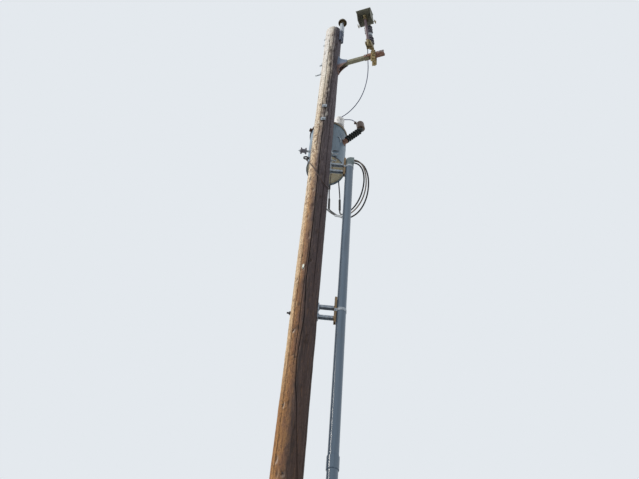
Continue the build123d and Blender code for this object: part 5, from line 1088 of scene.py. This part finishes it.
# %% Washers and strap bolts of the standoff brackets
STANDOFF_TOP = 0.1365                # of a bracket, above its level
STANDOFF_LEVELS = [round(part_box(f"standoff_{number}")[1].z - STANDOFF_TOP, 4)
                   for number in range(1, 5)]
PLATE_MM = 6.0
LAG_DROPS = (0.02, 0.084)            # of the two lag screws, below the level
LAG_WASHER = (9.6, 14.0, 2.6)        # inner radius, outer radius and thickness in mm
STRAP_BOLT_REACH = 0.278
STRAP_BOLT_ASIDE = 0.0235
STRAP_BOLT_DROP = 0.023


def standoff_hardware():
    shapes = []
    for level in STANDOFF_LEVELS:
        face = trunk_radius(level) + PLATE_MM * MM
        for drop in LAG_DROPS:
            shapes.append(washer((face, 0, level - drop), (1, 0, 0), *LAG_WASHER))
        for side in (-1, 1):
            foot = (STRAP_BOLT_REACH, side * STRAP_BOLT_ASIDE, level - STRAP_BOLT_DROP)
            shapes.append(bolt_top(foot, (0, side, 0), radius=7.5, rise=6.0))
    return shapes


standoff_bits = join_shapes("standoff_washers_and_bolts", standoff_hardware(), GALVANISED)
print("standoff bits:", len(standoff_bits.data.polygons))

# %% Washers and bright nuts of the cutout arm
STRAPS_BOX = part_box("arm_straps")
ARM_LEVEL = round((STRAPS_BOX[0].z + STRAPS_BOX[1].z) / 2, 4)
ARM_TURN = -23
ARM_NUT_REACHES = (0.512, 0.69, 0.732)
STRAP_FACE = 0.031                   # from the arm's middle
ARM_WASHER = (12.1, 15.5, 2.4)
NUT_CROWN = ((9.5, 0), (9.5, 1.6), (7.0, 3.0))
NUT_CROWN_LIFT = 0.008


def arm_hardware():
    shapes = []
    for reach in ARM_NUT_REACHES:
        for side in (-1, 1):
            aside = outward(ARM_TURN - 90) * side
            foot = outward(ARM_TURN) * reach + aside * STRAP_FACE + upward(ARM_LEVEL)
            shapes.append(washer(foot, aside, *ARM_WASHER))
            shapes.append(turned(NUT_CROWN, foot + aside * NUT_CROWN_LIFT, aside))
    return shapes


arm_bits = join_shapes("arm_washers_and_nuts", arm_hardware(), SPLICE_METAL)
print("arm bits:", len(arm_bits.data.polygons))

# %% Nails, tags and an old bolt in the wood
NAIL = ((2.2, -14), (2.2, 0), (5.6, 0), (5.4, 1.4), (3.4, 2.4), (0.8, 2.8))
# Azimuth, height in metres and lift in mm of each nail.
NAILS = ((-128, 5.68, 2), (-136, 4.92, 2), (-104, 4.32, 2), (-116, 6.43, 3), (-116, 6.465, 3),
         (-70, 5.1, 2), (-122, 3.4, 2), (-95, 2.6, 2), (-60, 1.9, 2), (-108, 2.1, 3), (-108, 2.17, 3),
         (150, 2.4, 2), (40, 3.1, 2))
# Azimuth, height, half width in degrees and half height of each tag.
TAGS = ((-116, 6.447, 4.2, 0.026), (-108, 2.135, 7.5, 0.045))
TAG_COLUMNS, TAG_ROWS = 6, 5
TAG_LIFT, TAG_THICK, TAG_CURL = 1.5, 0.8, 5.0
OLD_BOLT = (-175, 5.94)


def nail(azimuth, height, lift_mm):
    return turned(NAIL, on_trunk(azimuth, height, lift_mm), outward(azimuth), sides=12)


def tag(azimuth, height, half_width_deg, half_height):
    """A thin plate that follows the trunk, with one corner curled up."""
    points, faces = [], []
    for layer in (0, 1):
        for row in range(TAG_ROWS):
            for column in range(TAG_COLUMNS):
                u, v = column / (TAG_COLUMNS - 1) * 2 - 1, row / (TAG_ROWS - 1) * 2 - 1
                lift = TAG_LIFT + TAG_CURL * max(0.0, u + v - 0.9) ** 2 + layer * TAG_THICK
                points.append(on_trunk(azimuth + u * half_width_deg, height + v * half_height, lift))
    size = TAG_COLUMNS * TAG_ROWS
    for row in range(TAG_ROWS - 1):
        for column in range(TAG_COLUMNS - 1):
            a = row * TAG_COLUMNS + column
            b = a + TAG_COLUMNS
            faces.append((a, b, b + 1, a + 1))
            faces.append((size + a, size + a + 1, size + b + 1, size + b))
    index = np.arange(size).reshape(TAG_ROWS, TAG_COLUMNS)
    edge = np.concatenate(
        (index[0], index[1:, -1], index[-1, -2::-1], index[-2:0:-1, 0])).tolist()
    for first, second in zip(edge, edge[1:] + edge[:1]):
        faces.append((first, second, second + size, first + size))
    return points, faces


nails = join_shapes("nails", [nail(*spot) for spot in NAILS], BLACKENED_STEEL)
tags = join_shapes("pole_tags", [tag(*spot) for spot in TAGS], TAG_METAL)
old_bolt = join_shapes("old_bolt", [
    turned([(17, -3), (17, 9), (15, 11)], on_trunk(*OLD_BOLT), outward(OLD_BOLT[0]), sides=4),
    thread(*OLD_BOLT, start_mm=11, length_mm=20)], BLACKENED_STEEL)
print("in the wood:", nails.name, tags.name, old_bolt.name)

# %% Lug, rod and a black rim of painted shadow on the tank, and two ferrules
LUG_RADIUS, ROD_RADIUS = 5.5, 4.5
LUG_STEPS = 5
LUG_ARCH = 18            # in mm, less LUG_SINK at the ends
LUG_SINK = 2
RIM_SHADOW_PROFILE = [(229.6, -3), (233.5, -3), (234, 3), (232.5, 9), (230.1, 10)]
# Foot, direction, inner radius, outer radius and length in mm of each ferrule.
FERRULES = (((0.2718, 0.6084, 8.356), (-0.001, 0.008, 0.08), 7.6, 10.5, 30),
            ((0.3876, 0.2226, 9.468), (-0.009, 0.014, 0.046), 5.6, 9.0, 12))


def along_tank(start, step, lifts):
    """Places on the tank from a start of (azimuth, height), one step further for each lift."""
    return [on_tank(start[0] + step[0] * n, start[1] + step[1] * n, lift)
            for n, lift in enumerate(lifts)]


lug_lifts = [LUG_ARCH * math.sin(math.pi * n / LUG_STEPS) - LUG_SINK for n in range(LUG_STEPS + 1)]
lug_way = along_tank(start=(-59, 9.115), step=(2.4, -0.016), lifts=lug_lifts)
lug = join_shapes("tank_lug", [bent_bar(lug_way, LUG_RADIUS)], SPLICE_METAL)
rod_way = along_tank(start=(-79, 8.745), step=(4, 0.011), lifts=[8] * 7)
# Painted shadow: the black ring along the tank's bottom edge stands for the rim and the shadow line under
# it.
rim = turned(RIM_SHADOW_PROFILE, TANK_CENTRE + upward(TANK_BOTTOM), (0, 0, 1), sides=72, ring=True)
rod_and_rim_shadow = join_shapes("tank_rod_and_rim_shadow", [bent_bar(rod_way, ROD_RADIUS), rim], BLACKENED_STEEL)
ferrules = join_shapes("ferrules", [washer(*ferrule) for ferrule in FERRULES], SPLICE_METAL)
print("tank bits:", lug.name, rod_and_rim_shadow.name, ferrules.name)

# %% [markdown]
# ## The floor
# A plain pale floor takes the pole's shadow. It isn't part of the object.

# %% Lay the floor
FLOOR_HALF = 30.0
FLOOR_DROP = 0.001
FLOOR_COLOUR = "#DCDCDA"


def lay_floor():
    corners = [(x * FLOOR_HALF, y * FLOOR_HALF, 0) for x, y in ((-1, -1), (1, -1), (1, 1), (-1, 1))]
    mesh = bpy.data.meshes.new("studio_floor")
    mesh.from_pydata(corners, [], [(0, 1, 2, 3)])
    floor = add_object("studio_floor", mesh)
    floor.location.z = -FLOOR_DROP
    material, shader, _ = start_finish("matt_studio_floor", 0.95)
    shader.inputs["Base Color"].default_value = hex_colour(FLOOR_COLOUR)
    dress(floor, material)
    return floor


print("floor:", lay_floor().name)

# %% [markdown]
# ## The last update
# The view layer is updated once more, so that every object's place is current.

# %% Update the view layer
bpy.context.view_layer.update()
